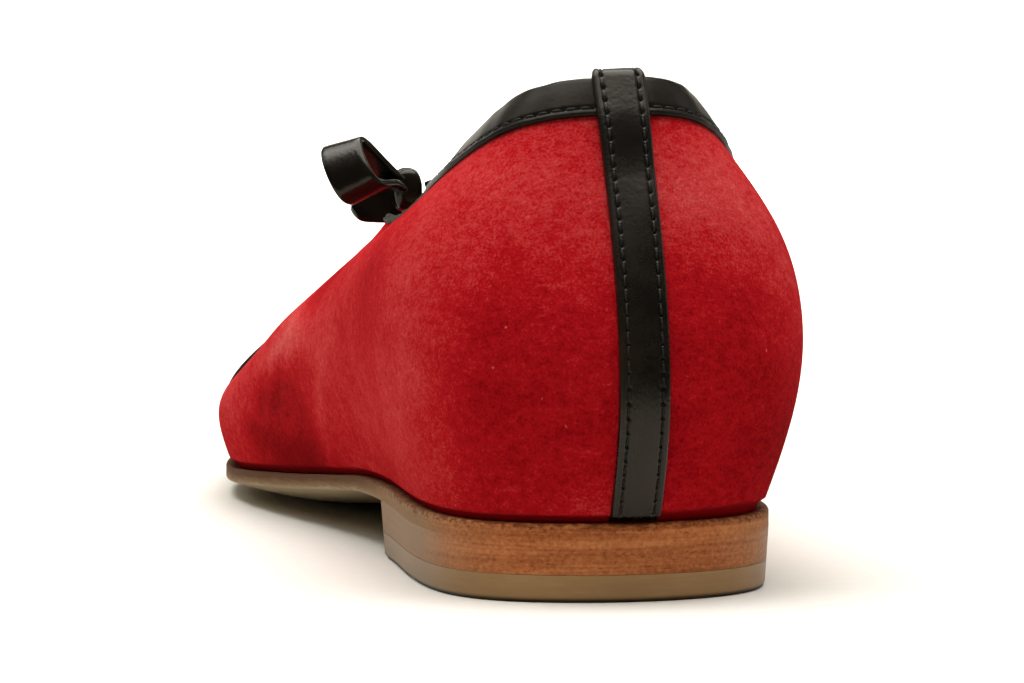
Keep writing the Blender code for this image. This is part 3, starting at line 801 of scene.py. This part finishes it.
strap_back = strap_points[::-4] + strap_ways[::-4] * LAID
strap_loops = np.concatenate([strap_face, strap_back], axis=0).swapaxes(0, 1)
strap_leather = black_leather("strap_leather", 0.27, 0.28)
strap_faces = sweep(strap_loops, False)
add_piece("strap_leather", strap_loops, strap_faces, strap_leather, "black_leather", "back_strap")
for side, sign in (("lateral", -1), ("medial", 1)):
    column = int(np.argmin(np.abs(strap_x - sign * (STRAP_WIDTH / 2 - STRAP_ROW))))
    add_stitches("strap_stitching_" + side, strap_face[column], strap_ways[column], strap_stitches)


# Toe cap
# A cap of black leather over the end of the vamp, cut straight across and held by a row of stitches along
# its edge. Below, it goes under the insole with the suede.

CAP = 0.7
CAP_FIT = 0.27
CAP_LINE = 197.0
CAP_OVERLAP = 1.2  # how far in front of that line the cap's corners meet the sole
CAP_ROW = 1.3
CAP_COLUMNS = 300
CAP_ROWS = 41
CAP_SHORT = 8.0  # where the cap is less deep, its rows are closer together
CAP_UNSEWN = 8  # columns without stitches at each end
CAP_GROOVE, CAP_GROOVE_HALF = 0.16, 0.3
# Height of the bead along the edge, its place in from the edge and its half width
CAP_BEAD, CAP_BEAD_IN, CAP_BEAD_HALF = 0.10, 0.6, 0.3


def cap_columns():
    """The sections across the cap, and the s where its edge crosses each."""
    sides = [np.linspace(U[ball], U["toe_tip"], 400) for ball in ("lateral_ball", "medial_ball")]
    ends = [np.interp(CAP_LINE + CAP_OVERLAP, section(side)[:, 1], side) for side in sides]
    u = np.linspace(*ends, CAP_COLUMNS)
    s = np.linspace(0, 1, 301)
    edge = []
    for wall in skin(u[:, None], s)[..., 1]:
        front = wall.argmax()
        edge.append(np.interp(-CAP_LINE, -wall[front:], s[front:]))
    return u, np.array(edge)


cap_u, cap_edge = cap_columns()
share = np.linspace(0, 1, 241)
walls = skin(cap_u[:, None], cap_edge[:, None] * (1 - share))
runs = np.stack([run_along(wall) for wall in walls])
near_cap_edge = np.concatenate([[0, 0.05, 0.14, 0.28, 0.5], np.linspace(0.75, 2.2, 9)])
cap_depth = runs[:, -1:]
near_rows = near_cap_edge * np.minimum(1, cap_depth / CAP_SHORT)
far_rows = near_rows[:, -1:] + (cap_depth - near_rows[:, -1:]) * np.linspace(0, 1, CAP_ROWS)[1:]
cap_from = np.concatenate([near_rows, far_rows], axis=1)
cap_share = np.stack([np.interp(d, run, share) for d, run in zip(cap_from, runs)])
cap_s = cap_edge[:, None] * (1 - cap_share)
cap_points = tucked(cap_u[:, None], skin(cap_u[:, None], cap_s))
cap_ways = normal(cap_u[:, None], cap_s)
cap_ways[:, -1] = outward(cap_u)
cap_thick = CAP * cut_edge(cap_from, CUT_EDGE)
cap_thick -= CAP_GROOVE * bell((cap_from - CAP_ROW) / CAP_GROOVE_HALF)
cap_thick += CAP_BEAD * bell((cap_from - CAP_BEAD_IN) / CAP_BEAD_HALF)
cap_face = cap_points + cap_ways * (CAP_FIT + cap_thick)[..., None]
cap_back = cap_points[:, ::-3] + cap_ways[:, ::-3] * CAP_FIT
cap_loops = np.concatenate([cap_face, cap_back], axis=1)
cap_leather = black_leather("cap_leather", 0.34, 0.2)
add_piece("cap_leather", cap_loops, sweep(cap_loops, False), cap_leather, "black_leather", "toe_cap")
cap_sewn = slice(CAP_UNSEWN, -CAP_UNSEWN), int(np.argmin(np.abs(near_cap_edge - CAP_ROW)))
cap_stitches = round(run_along(cap_face[cap_sewn])[-1] / PITCH)
add_stitches("cap_stitching", cap_face[cap_sewn], cap_ways[cap_sewn], cap_stitches)


# Bow
# Ribbon cut from black leather: a loop and a tail to each side, drawn together by a narrow wrap and sewn
# through the throat of the upper.

RIBBON = 1.2
RIBBON_WIDTH = 7.0
RIBBON_CORNER = 7  # points round each edge of the ribbon
RIBBON_FLAT = 11  # and across each flat
RIBBON_SQUARED = 0.7
KNOT_CENTRE = np.array([-9.15, 166.2, 49.4])
KNOT_SIZE = (4.8, 6.6, 7.0)
LOOP_START = 1.5  # past the knot's half width
LOOP_OPEN = 0.085  # share of a full turn left out at the knot, at either end
LOOP_STEPS = 120
LOOP_PINCHED, LOOP_FULL = 0.24, 1.1  # share of the height at the knot, and what the far end adds
LOOP_GATHERED = 0.22  # how far out from the knot the folds reach, as a share of the loop
LOOP_NARROWS, LOOP_CUPS = 0.18, 0.25  # what they take off the width, and how deep they cup it
TAIL_STEPS = 60
TAIL_WIDTH, TAIL_WIDENS = 0.86, 0.18
TAIL_CUPS = 0.2
TAIL_ROUNDED, TAIL_END = 0.75, 0.5  # from here on the tail is rounded off, to this share of its width
CUP_LEVEL = 0.3
# Each loop: reach from the knot, half height, its direction out from the knot, the direction of the
# ribbon's width where it turns back, and its twist from the upper run to the lower
LOOPS = {
    "bow_loop_lateral": (12.6, 6.2, (-0.73, -0.66, 0.29), (0.92, -0.26, 0.46), 0.6),
    "bow_loop_medial": (18.0, 5.0, (0.82, -0.35, 0.07), (-0.38, -0.92, 0.10), 0.2),
}
# Each tail: its path from the knot, through its middle, to its end, and the ways that its face looks at
# the knot and at the end
TAILS = {
    "bow_tail_lateral": (
        (-9, 170.5, 47.2), (-13, 170.4, 47.2), (-17.6, 169.6, 47.9), (0, -1, 0.1), (-0.1, -0.9, 0.4)
    ),
    "bow_tail_medial": ((-8.2, 168, 44.5), (0.5, 171.5, 44.3), (9, 178.5, 42.4), (0, 0.3, 1), (0, 0.3, 1)),
}


def squared(wave, power):
    """A sine or cosine filled out, so that the round section it makes gets flatter sides."""
    return np.sign(wave) * np.abs(wave) ** power


def ribbon_section():
    """Outline of the ribbon cut across: offsets along its width and its thickness, edges rounded."""
    bend = np.linspace(0, np.pi, RIBBON_CORNER)
    flat_half = (RIBBON_WIDTH - RIBBON) / 2
    end_wide = flat_half + squared(np.sin(bend), RIBBON_SQUARED) * RIBBON / 2
    end_thick = squared(np.cos(bend), RIBBON_SQUARED) * RIBBON / 2
    flat_wide = np.linspace(-1, 1, RIBBON_FLAT + 2)[1:-1] * flat_half
    flat_thick = np.full(RIBBON_FLAT, RIBBON / 2)
    wide = np.concatenate([end_wide, flat_wide[::-1], -end_wide, flat_wide])
    thick = np.concatenate([end_thick, -flat_thick, -end_thick, flat_thick])
    return wide, thick


def add_ribbon(node, path, width_way, narrowed, cupped):
    """A ribbon along the path: narrowed and cupped say how it is drawn in at each point."""
    wide, thick = ribbon_section()
    width_way = unit(width_way)
    face = unit(np.cross(np.gradient(path, axis=0), width_way))
    across = wide * narrowed[:, None]
    through = thick + cupped[:, None] * ((wide / RIBBON_WIDTH * 2) ** 2 - CUP_LEVEL)
    loops = path[:, None] + width_way[:, None] * across[..., None] + face[:, None] * through[..., None]
    name = node.replace("bow", "ribbon")
    add_piece(name, loops, sweep(loops, False), bow_leather, "black_leather", node)


bow_leather = black_leather("bow_leather", 0.2, 0.3)
for node, (reach, half_height, direction, turned_way, twist) in LOOPS.items():
    out = unit(np.array(direction))
    level_way = unit(np.cross(out, (0, 0, 1))) * math.copysign(1, out[0])
    rise = unit(np.cross(turned_way, out))
    rise *= math.copysign(1, rise[2])
    turn = 2 * np.pi * np.linspace(LOOP_OPEN, 1 - LOOP_OPEN, LOOP_STEPS)
    swell = (1 - np.cos(turn)) / 2
    height = half_height * np.sin(turn) * (LOOP_PINCHED + LOOP_FULL * swell**2)
    start = KNOT_CENTRE + out * (KNOT_SIZE[0] / 2 + LOOP_START - swell[0] * reach)
    path = start + out * (swell * reach)[:, None] + rise * height[:, None]
    width_way = level_way + (np.array(turned_way) - level_way) * swell[:, None]
    width_way[:, 2] += twist * swell * np.linspace(-1, 1, LOOP_STEPS)
    drawn_in = bell(swell / LOOP_GATHERED)
    add_ribbon(node, path, width_way, 1 - LOOP_NARROWS * drawn_in, LOOP_CUPS * drawn_in)

for node, (start, middle, end, start_face, end_face) in TAILS.items():
    t = np.linspace(0, 1, TAIL_STEPS)[:, None]
    near, half_way, far = 2 * (t - 0.5) * (t - 1), 4 * t * (1 - t), 2 * t * (t - 0.5)
    path = near * np.array(start) + half_way * np.array(middle) + far * np.array(end)
    face = (1 - t) * np.array(start_face) + t * np.array(end_face)
    width_way = np.cross(face, np.gradient(path, axis=0))
    t = t[:, 0]
    at_end = np.clip((t - TAIL_ROUNDED) / (1 - TAIL_ROUNDED), 0, 1)
    rounded = np.sqrt(1 - (1 - TAIL_END**2) * at_end**2)
    add_ribbon(node, path, width_way, (TAIL_WIDTH + TAIL_WIDENS * t) * rounded, TAIL_CUPS * (1 - t))

KNOT_SIDES = 72
KNOT_SLICES = 41
KNOT_SQUARED = 0.8
KNOT_FULL = 1.05
KNOT_CROWN, KNOT_CROWN_AT = 0.10, 0.36  # how much thinner it is, this far from its middle
KNOT_EASED, KNOT_EASED_FROM = 0.30, 0.38  # its ends are rounded off by this share, from here
# Folds round the knot: place along it and depth, both as shares of its size
KNOT_FOLDS = ((0.12, 0.035), (-0.2, 0.03))
KNOT_FOLD_HALF = 0.03

turn = np.linspace(0, 2 * np.pi, KNOT_SIDES, endpoint=False)
knot_rings = []
for slice_at in np.linspace(-0.5, 0.5, KNOT_SLICES):
    eased = np.clip((abs(slice_at) - KNOT_EASED_FROM) / (0.5 - KNOT_EASED_FROM), 0, 1)
    share = KNOT_FULL - KNOT_CROWN * (slice_at / KNOT_CROWN_AT) ** 2 - KNOT_EASED * eased**2
    for place, depth in KNOT_FOLDS:
        share -= depth * bell((slice_at - place) / KNOT_FOLD_HALF)
    x = squared(np.cos(turn), KNOT_SQUARED) * KNOT_SIZE[0] / 2 * share
    y = np.full(KNOT_SIDES, slice_at * KNOT_SIZE[1])
    z = squared(np.sin(turn), KNOT_SQUARED) * KNOT_SIZE[2] / 2 * share
    knot_rings.append(KNOT_CENTRE + np.column_stack([x, y, z]))
knot_rings = np.array(knot_rings)
add_piece("ribbon_knot", knot_rings, sweep(knot_rings, False), bow_leather, "black_leather", "bow_knot")


# Insole
# A thin leather sock cemented over the insole board, inside the lasted upper, with its upper edge bevelled.
# The photograph doesn't show it, so it is finished plainly, in the leather of the lining.

INSOLE = 1.5
BEVEL = 0.4
BEVEL_FROM = 0.7 * INSOLE
SOLE_AROUND = 360
SPINE_INSET = 0.10  # the sole's middle line stops this share of its length from either end
SOLE_FLAT = 0.5  # share of the half width before the sole rises to its edge


def sole_ring(margin, share, lift):
    """Points round the sole: margin out from the feather edge, drawn in to this share of the half width."""
    u = np.arange(SOLE_AROUND) / SOLE_AROUND
    edge = section(u)[:, :2] + outward(u)[:, :2] * np.reshape(margin, (-1, 1))
    low, high = edge[:, 1].min(), edge[:, 1].max()
    spine = SPINE_INSET + (1 - 2 * SPINE_INSET) * (edge[:, 1] - low) / (high - low)
    other_side = edge[(-np.arange(SOLE_AROUND)) % SOLE_AROUND]
    middle = np.stack([(edge[:, 0] + other_side[:, 0]) / 2, low + (high - low) * spine], axis=1)
    flat = middle + (edge - middle) * share
    edge_rise, middle_rise = sole_rise(flat[:, 1], 1), sole_rise(flat[:, 1], 2)
    dome = np.clip((share - SOLE_FLAT) / (1 - SOLE_FLAT), 0, 1) ** 2
    return np.column_stack([flat, middle_rise + (edge_rise - middle_rise) * dome + lift])


def sole_faces(rings):
    """Faces over the rings of a sole, the first and last closed by rungs from side to side."""
    faces = sweep(rings, False)[:-2]
    size = rings.shape[1]
    for start in (0, (len(rings) - 1) * size):
        for i in range(size // 2):
            rung = (start + i, start + i + 1, start + size - i - 1, start + (size - i) % size)
            faces.append(tuple(dict.fromkeys(rung)))
    return faces


SHARES = (0.3, 0.45, 0.6, 0.7, 0.8, 0.88, 0.94, 0.98)
sock_under, sock_margin = OUTSOLE + FIT, -WALL - FIT - TUCK
sock_rings = [sole_ring(sock_margin, share, sock_under) for share in (*SHARES, 1.0)]
sock_rings.append(sole_ring(sock_margin, 1.0, sock_under + BEVEL_FROM))
sock_rings += [sole_ring(sock_margin - BEVEL, share, sock_under + INSOLE) for share in (1.0, *SHARES[::-1])]
sock_rings = np.array(sock_rings)
add_piece("leather_sock", sock_rings, sole_faces(sock_rings), lining_leather, "lining_leather", "insole")


# Outsole
# One thickness of natural sole leather, cut to the last, its edge trimmed and burnished. It is cemented to
# the lasted upper, and rounded up at the edges of the forefoot.

SOLE_MARGIN = 0.8
# Profile of the sole's edge from underside to top: out from the trimmed line and up, mm
EDGE_PROFILE = (
    (-0.3, 0), (-0.08, 0.08), (0, 0.3), (0, 0.8), (0, 1.3), (0, 1.95), (-0.08, 2.15), (-0.3, OUTSOLE)
)
HEEL_SQUARED = 0.8  # share of the lower edge's rounding left off over the heel
STAIN_ENDS = 84.0
STAIN_FADES = 24.0
SOLE_PALE = (0.30, 0.23, 0.140)
SOLE_TAN = (0.20, 0.120, 0.056)
SOLE_BROWN = (0.090, 0.036, 0.013)
STACK_LIGHT = (0.53, 0.190, 0.066)
STACK_RED = (0.36, 0.108, 0.033)
STACK_DARK = (0.22, 0.060, 0.018)
STACK_PIT = (0.12, 0.032, 0.011)
# Painted reflection on the sides of the heel and the sole's edge above it, growing towards the breast
PAINTED_SIDE_REFLECTION = (0.195, 0.140, 0.074)
SIDE_REFLECTION_FROM = 6.0
SIDE_REFLECTION_FADES = 20.0
SIDE_REFLECTION_MOST = 0.8


def stained_edge(leather):
    """Colour and relief of edges stained red-brown: level lines, fibres and pits, with painted reflection
    paling the sides.
    """
    fibres = leather.noise(0.44, 3, 0.65, (1.5, 1.5, 1))
    lines = leather.noise(0.9, 3, 0.6, (40, 40, 1))
    tone = leather.total((0.40, fibres), (0.12, leather.noise(7, 3, 0.6)), (0.48, lines))
    brown = leather.ramp(tone, (0.38, STACK_DARK), (0.47, STACK_RED), (0.60, STACK_LIGHT))
    pits = leather.clip(leather.noise(0.6, 2, 0.5, (2, 2, 0.6)), 0.68, 0.76, 0.0, 0.6)
    brown = leather.mix(pits, brown, (*STACK_PIT, 1.0))
    leather.bump((lines, 0.04), (fibres, 0.03))
    return leather.mix(leather.painted("side_reflection"), brown, (*PAINTED_SIDE_REFLECTION, 1.0))


def side_reflection_at(y):
    """Share of painted reflection over the stain on the sides of the heel, growing towards the breast."""
    return SIDE_REFLECTION_MOST * np.clip((y - SIDE_REFLECTION_FROM) / SIDE_REFLECTION_FADES, 0, 1)


def sole_finish():
    """Sole leather: pale below, its edge burnished brown and darkest at its top, partly the burnish and
    partly painted shade under the upper, and stained to match the heel at the back.
    """
    leather = Finish("sole_leather", {"Roughness": 0.75, "Specular IOR Level": 0.08})
    drawn_out = leather.noise(0.5, 4, 0.65, (9, 9, 0.7))
    clouds = leather.noise(10, 3, 0.6)
    up_edge = leather.painted("up_edge")
    # The edge darkens towards its top: partly the burnish, partly painted shade under the overhanging upper
    tone = leather.total((0.35, drawn_out), (0.25, clouds), (0.7, up_edge))
    tan = leather.ramp(tone, (0.34, SOLE_PALE), (0.48, SOLE_TAN), (0.75, SOLE_BROWN))
    stained = stained_edge(leather)
    # Dark pits, denser towards the top of the edge: partly the stain's pits, partly painted shade under the
    # upper
    speckled = leather.total((1.0, leather.noise(0.6, 3, 0.6, (2, 2, 0.8))), (0.5, up_edge))
    stained = leather.mix(leather.clip(speckled, 0.86, 1.02, 0.0, 0.85), stained, (*STACK_PIT, 1.0))
    leather.put(leather.shader, {"Base Color": leather.mix(leather.painted("stain"), tan, stained)})
    return leather.material


edge_y = section(np.arange(SOLE_AROUND) / SOLE_AROUND)[:, 1]
at_heel = np.clip((STAIN_ENDS - edge_y) / STAIN_FADES, 0, 1)
edge_out = [out * (1 - HEEL_SQUARED * at_heel * (up < OUTSOLE / 2)) for out, up in EDGE_PROFILE]
sole_rings = [sole_ring(SOLE_MARGIN + edge_out[0], share, 0) for share in SHARES]
sole_rings += [sole_ring(SOLE_MARGIN + out, 1.0, up) for out, (_, up) in zip(edge_out, EDGE_PROFILE)]
sole_rings += [sole_ring(SOLE_MARGIN + edge_out[-1], share, OUTSOLE) for share in SHARES[::-1]]
sole_rings = np.array(sole_rings)
outsole_faces = sole_faces(sole_rings)
outsole = add_piece("sole_leather", sole_rings, outsole_faces, sole_finish(), "sole_leather", "outsole")
edge_up = [0.0] * len(SHARES) + [up for _, up in EDGE_PROFILE] + [OUTSOLE] * len(SHARES)
paint(outsole, "up_edge", np.repeat(edge_up, SOLE_AROUND) / OUTSOLE)
paint(outsole, "stain", np.tile(at_heel, len(sole_rings)))
paint(outsole, "side_reflection", np.tile(side_reflection_at(edge_y), len(sole_rings)))


# Heel stack
# Thin lifts of leather glued and pressed into a block and nailed on under the seat. The block is trimmed
# flush with the sole, stained and burnished, so that the edges of the lifts show as fine lines.

HEEL_BREAST = 67.0
BREAST_HOLLOW = 2.0
HEEL_TAPER = 0.5
TOP_PIECE = 3.6
SEAM = 0.1
BREAST_CORNER = 0.7
HEEL_SAMPLES = 2001
HEEL_POINTS = 260
BREAST_POINTS = 31
BREAST_INSET = 0.02  # share of the heel's width
EASED = 0.02  # what is taken off each edge of a lift


def heel_ring(z, out):
    """Outline of the heel at this height, this far out from its trimmed face, which tapers to the floor."""
    inset = HEEL_TAPER * (1 - z / HEEL_RISE) - out
    u = np.linspace(-U["lateral_waist"], U["lateral_waist"], HEEL_SAMPLES)
    edge = section(u)[:, :2] + outward(u)[:, :2] * (SOLE_MARGIN - inset)
    kept = edge[edge[:, 1] < HEEL_BREAST - inset - BREAST_CORNER]
    run = run_along(kept)
    kept = along_path(np.linspace(0, run[-1], HEEL_POINTS), run, kept)
    lateral, medial = kept[-1], kept[0]
    t = np.linspace(0, 1, BREAST_POINTS)
    breast_x = lateral[0] + (medial[0] - lateral[0]) * (BREAST_INSET + (1 - 2 * BREAST_INSET) * t)
    breast_y = HEEL_BREAST - inset - BREAST_HOLLOW * 4 * t * (1 - t)
    flat = np.concatenate([kept, np.column_stack([breast_x, breast_y])])
    return np.column_stack([flat, np.full(len(flat), z)])


def stack_finish():
    """Edges of many thin lifts, stained like the edge of the sole and polished a little more."""
    stack = Finish("stacked_leather", {"Roughness": 0.5, "Specular IOR Level": 0.08})
    stack.put(stack.shader, {"Base Color": stained_edge(stack)})
    return stack.material


def add_lift(name, low, high, material, slot, node, foot=(EASED, EASED)):
    """One layer of the heel between two heights, its edges eased: foot is how high and how far in below."""
    foot_up, foot_in = foot
    face = ((low + foot_up, 0), ((low + high) / 2, 0), (high - EASED, 0))
    profile = ((low, -foot_in), *face, (high, -EASED))
    rings = np.array([heel_ring(z, out) for z, out in profile])
    lift = add_piece(name, rings, sweep(rings, False), material, slot, node, crisp=35)
    paint(lift, "side_reflection", side_reflection_at(rings[..., 1]))


stack_foot, stack_top = TOP_PIECE + SEAM / 2, HEEL_RISE + SEAM
add_lift("heel_lifts", stack_foot, stack_top, stack_finish(), "stacked_leather", "heel_stack")


# Top piece
# The layer of taupe rubber that meets the floor, cemented and nailed under the stack and trimmed flush with
# it. Its lower edge is worn round, and painted dark with shade where it touches the floor.

RUBBER = (0.30, 0.174, 0.074)
RUBBER_DUSTY = (0.38, 0.225, 0.102)
RUBBER_SIDE_REFLECTION = (0.18, 0.116, 0.055)
# Painted shade at the foot, where the rubber meets the floor: its colour, then the heights in mm where it
# is full and where it ends
FOOT_CONTACT_SHADE = (0.030, 0.018, 0.008)
WORN_FOOT = (0.6, 0.45)
CONTACT_SHADE_FULL, CONTACT_SHADE_ENDS = 0.3, 0.8


def rubber_finish():
    """Hard rubber with a satin trimmed edge, slightly dusty, greyer at the sides with painted reflection,
    and painted shade at the floor.
    """
    rubber = Finish("heel_rubber", {"Roughness": 0.4, "Specular IOR Level": 0.14})
    dust = rubber.noise(6, 4, 0.65, (2, 2, 0.6))
    trimmed = rubber.noise(0.3, 3, 0.6, (40, 40, 1))
    tone = rubber.total((0.7, dust), (0.3, trimmed))
    taupe = rubber.ramp(tone, (0.36, RUBBER), (0.66, RUBBER_DUSTY))
    # Greyer at the sides towards the breast: painted reflection
    taupe = rubber.mix(rubber.painted("side_reflection"), taupe, (*RUBBER_SIDE_REFLECTION, 1.0))
    # Painted shade in the lowest millimetre, where the rubber meets the floor
    height = rubber.add("SeparateXYZ", {"Vector": rubber.place}).outputs["Z"]
    contact_shade = rubber.clip(height, CONTACT_SHADE_FULL * MM, CONTACT_SHADE_ENDS * MM, 0.9, 0.0)
    rubber.put(rubber.shader, {"Base Color": rubber.mix(contact_shade, taupe, (*FOOT_CONTACT_SHADE, 1.0))})
    rubber.bump((trimmed, 0.02), (rubber.noise(0.3, 2), 0.01))
    return rubber.material


add_lift("heel_rubber", 0.0, TOP_PIECE, rubber_finish(), "heel_rubber", "top_piece", WORN_FOOT)


# Studio
# A sweep of warm white paper for floor and background, a large soft light overhead, fainter ones at the
# sides and behind the heel, and two that wash the paper white beyond the shoe. The camera stands low behind
# the heel, as in the photograph but closer in.

FLOOR_HALF = 6.0
SWEEP_AT = 4.0
SWEEP_RADIUS = 0.8
SWEEP_HEIGHT = 3.0
SWEEP_STEPS = 16
PAPER = (0.75, 0.728, 0.66)
PAPER_FIBRE = (0.77, 0.748, 0.68)
WORLD_COLOUR = (1.0, 0.90, 0.68, 1.0)
WORLD_STRENGTH = 0.1
# Each light: place and target, its two sides, all in metres, its watts, and its spread in degrees
LIGHTS = {
    "overhead": ((0.0, -0.05, 1.15), (0, -0.05, 0), (1.5, 1.1), 26, 180),
    "left_panel": ((-1.15, 0.45, 1.25), (0, 0, 0.03), (0.9, 1.1), 5, 180),
    "right_panel": ((1.5, 0.3, 0.8), (0, 0, 0.03), (0.9, 1.1), 2.2, 180),
    "behind": ((0.1, -0.7, 1.3), (0, -0.1, 0.05), (0.8, 0.3), 0.7, 180),
    "far_floor": ((0.0, 2.4, 2.2), (0, 2.4, 0), (5.0, 2.6), 220, 80),
    "background_wash": ((0.0, 2.2, 2.4), (0, 4.6, 0.5), (3.0, 0.8), 120, 180),
}


def paper_sweep():
    """Floor that curves up into a background behind the shoe, in metres."""
    bend = np.linspace(0, np.pi / 2, SWEEP_STEPS)
    profile = [(-FLOOR_HALF, 0.0)]
    profile += [(SWEEP_AT + SWEEP_RADIUS * math.sin(b), SWEEP_RADIUS * (1 - math.cos(b))) for b in bend]
    profile.append((SWEEP_AT + SWEEP_RADIUS, SWEEP_HEIGHT))
    points = [(x, y, z) for x in (-FLOOR_HALF, FLOOR_HALF) for y, z in profile]
    count = len(profile)
    faces = [(i, i + 1, count + i + 1, count + i) for i in range(count - 1)]
    mesh = bpy.data.meshes.new("paper_sweep")
    mesh.from_pydata(points, [], faces)
    mesh.shade_smooth()
    paper = Finish("white_paper", {"Roughness": 0.85, "Specular IOR Level": 0.2})
    white = paper.ramp(paper.noise(3, 3, 0.6), (0.3, PAPER), (0.7, PAPER_FIBRE))
    paper.put(paper.shader, {"Base Color": white})
    mesh.materials.append(paper.material)
    sweep_object = bpy.data.objects.new("paper_sweep", mesh)
    bpy.context.scene.collection.objects.link(sweep_object)


def add_light(name, place, target, size, power, spread):
    """A rectangular soft light at a place, facing a target."""
    light = bpy.data.lights.new(name, "AREA")
    light.shape = "RECTANGLE"
    light.size, light.size_y = size
    light.energy = power
    light.spread = math.radians(spread)
    lamp = bpy.data.objects.new(name, light)
    lamp.location = place
    lamp.rotation_euler = (Vector(target) - Vector(place)).to_track_quat("-Z", "Y").to_euler()
    bpy.context.scene.collection.objects.link(lamp)


paper_sweep()
for name, settings in LIGHTS.items():
    add_light(name, *settings)

world = bpy.data.worlds.new("studio")
world.use_nodes = True
background = world.node_tree.nodes["Background"]
background.inputs["Color"].default_value = WORLD_COLOUR
background.inputs["Strength"].default_value = WORLD_STRENGTH
bpy.context.scene.world = world
bpy.context.scene.view_settings.view_transform = "Standard"

# The photograph's camera: level, behind the heel and turned to the outer side, in degrees and millimetres,
# its axis and horizon in the photograph's pixels. The render is centred on the shoe and enlarged.
VIEW_TURN = math.radians(10)
EYE_BEHIND = 620.0
EYE_HEIGHT = 69.0
FOCAL_PX = 2200
AXIS_PX = (447.5, 314.9)
CENTRE_PX = (389, 439)
ENLARGED = 2.2
FRAME_PX = 1024
SENSOR = 36.0
NEAREST = 0.05
FARTHEST = 50

ahead = Vector((math.sin(VIEW_TURN), math.cos(VIEW_TURN), 0))
right = Vector((math.cos(VIEW_TURN), -math.sin(VIEW_TURN), 0))
off_axis = (Vector(CENTRE_PX) - Vector(AXIS_PX)) / FOCAL_PX
aim = ahead + right * off_axis.x - Vector((0, 0, off_axis.y))
camera = bpy.data.objects.new("camera", bpy.data.cameras.new("camera"))
camera.location = (Vector(SHIFT) - ahead * EYE_BEHIND + Vector((0, 0, EYE_HEIGHT))) * MM
camera.rotation_euler = aim.to_track_quat("-Z", "Y").to_euler()
camera.data.sensor_width = SENSOR
camera.data.lens = SENSOR * FOCAL_PX * ENLARGED / FRAME_PX
camera.data.clip_start = NEAREST
camera.data.clip_end = FARTHEST
bpy.context.scene.collection.objects.link(camera)
bpy.context.scene.camera = camera

bpy.context.view_layer.update()
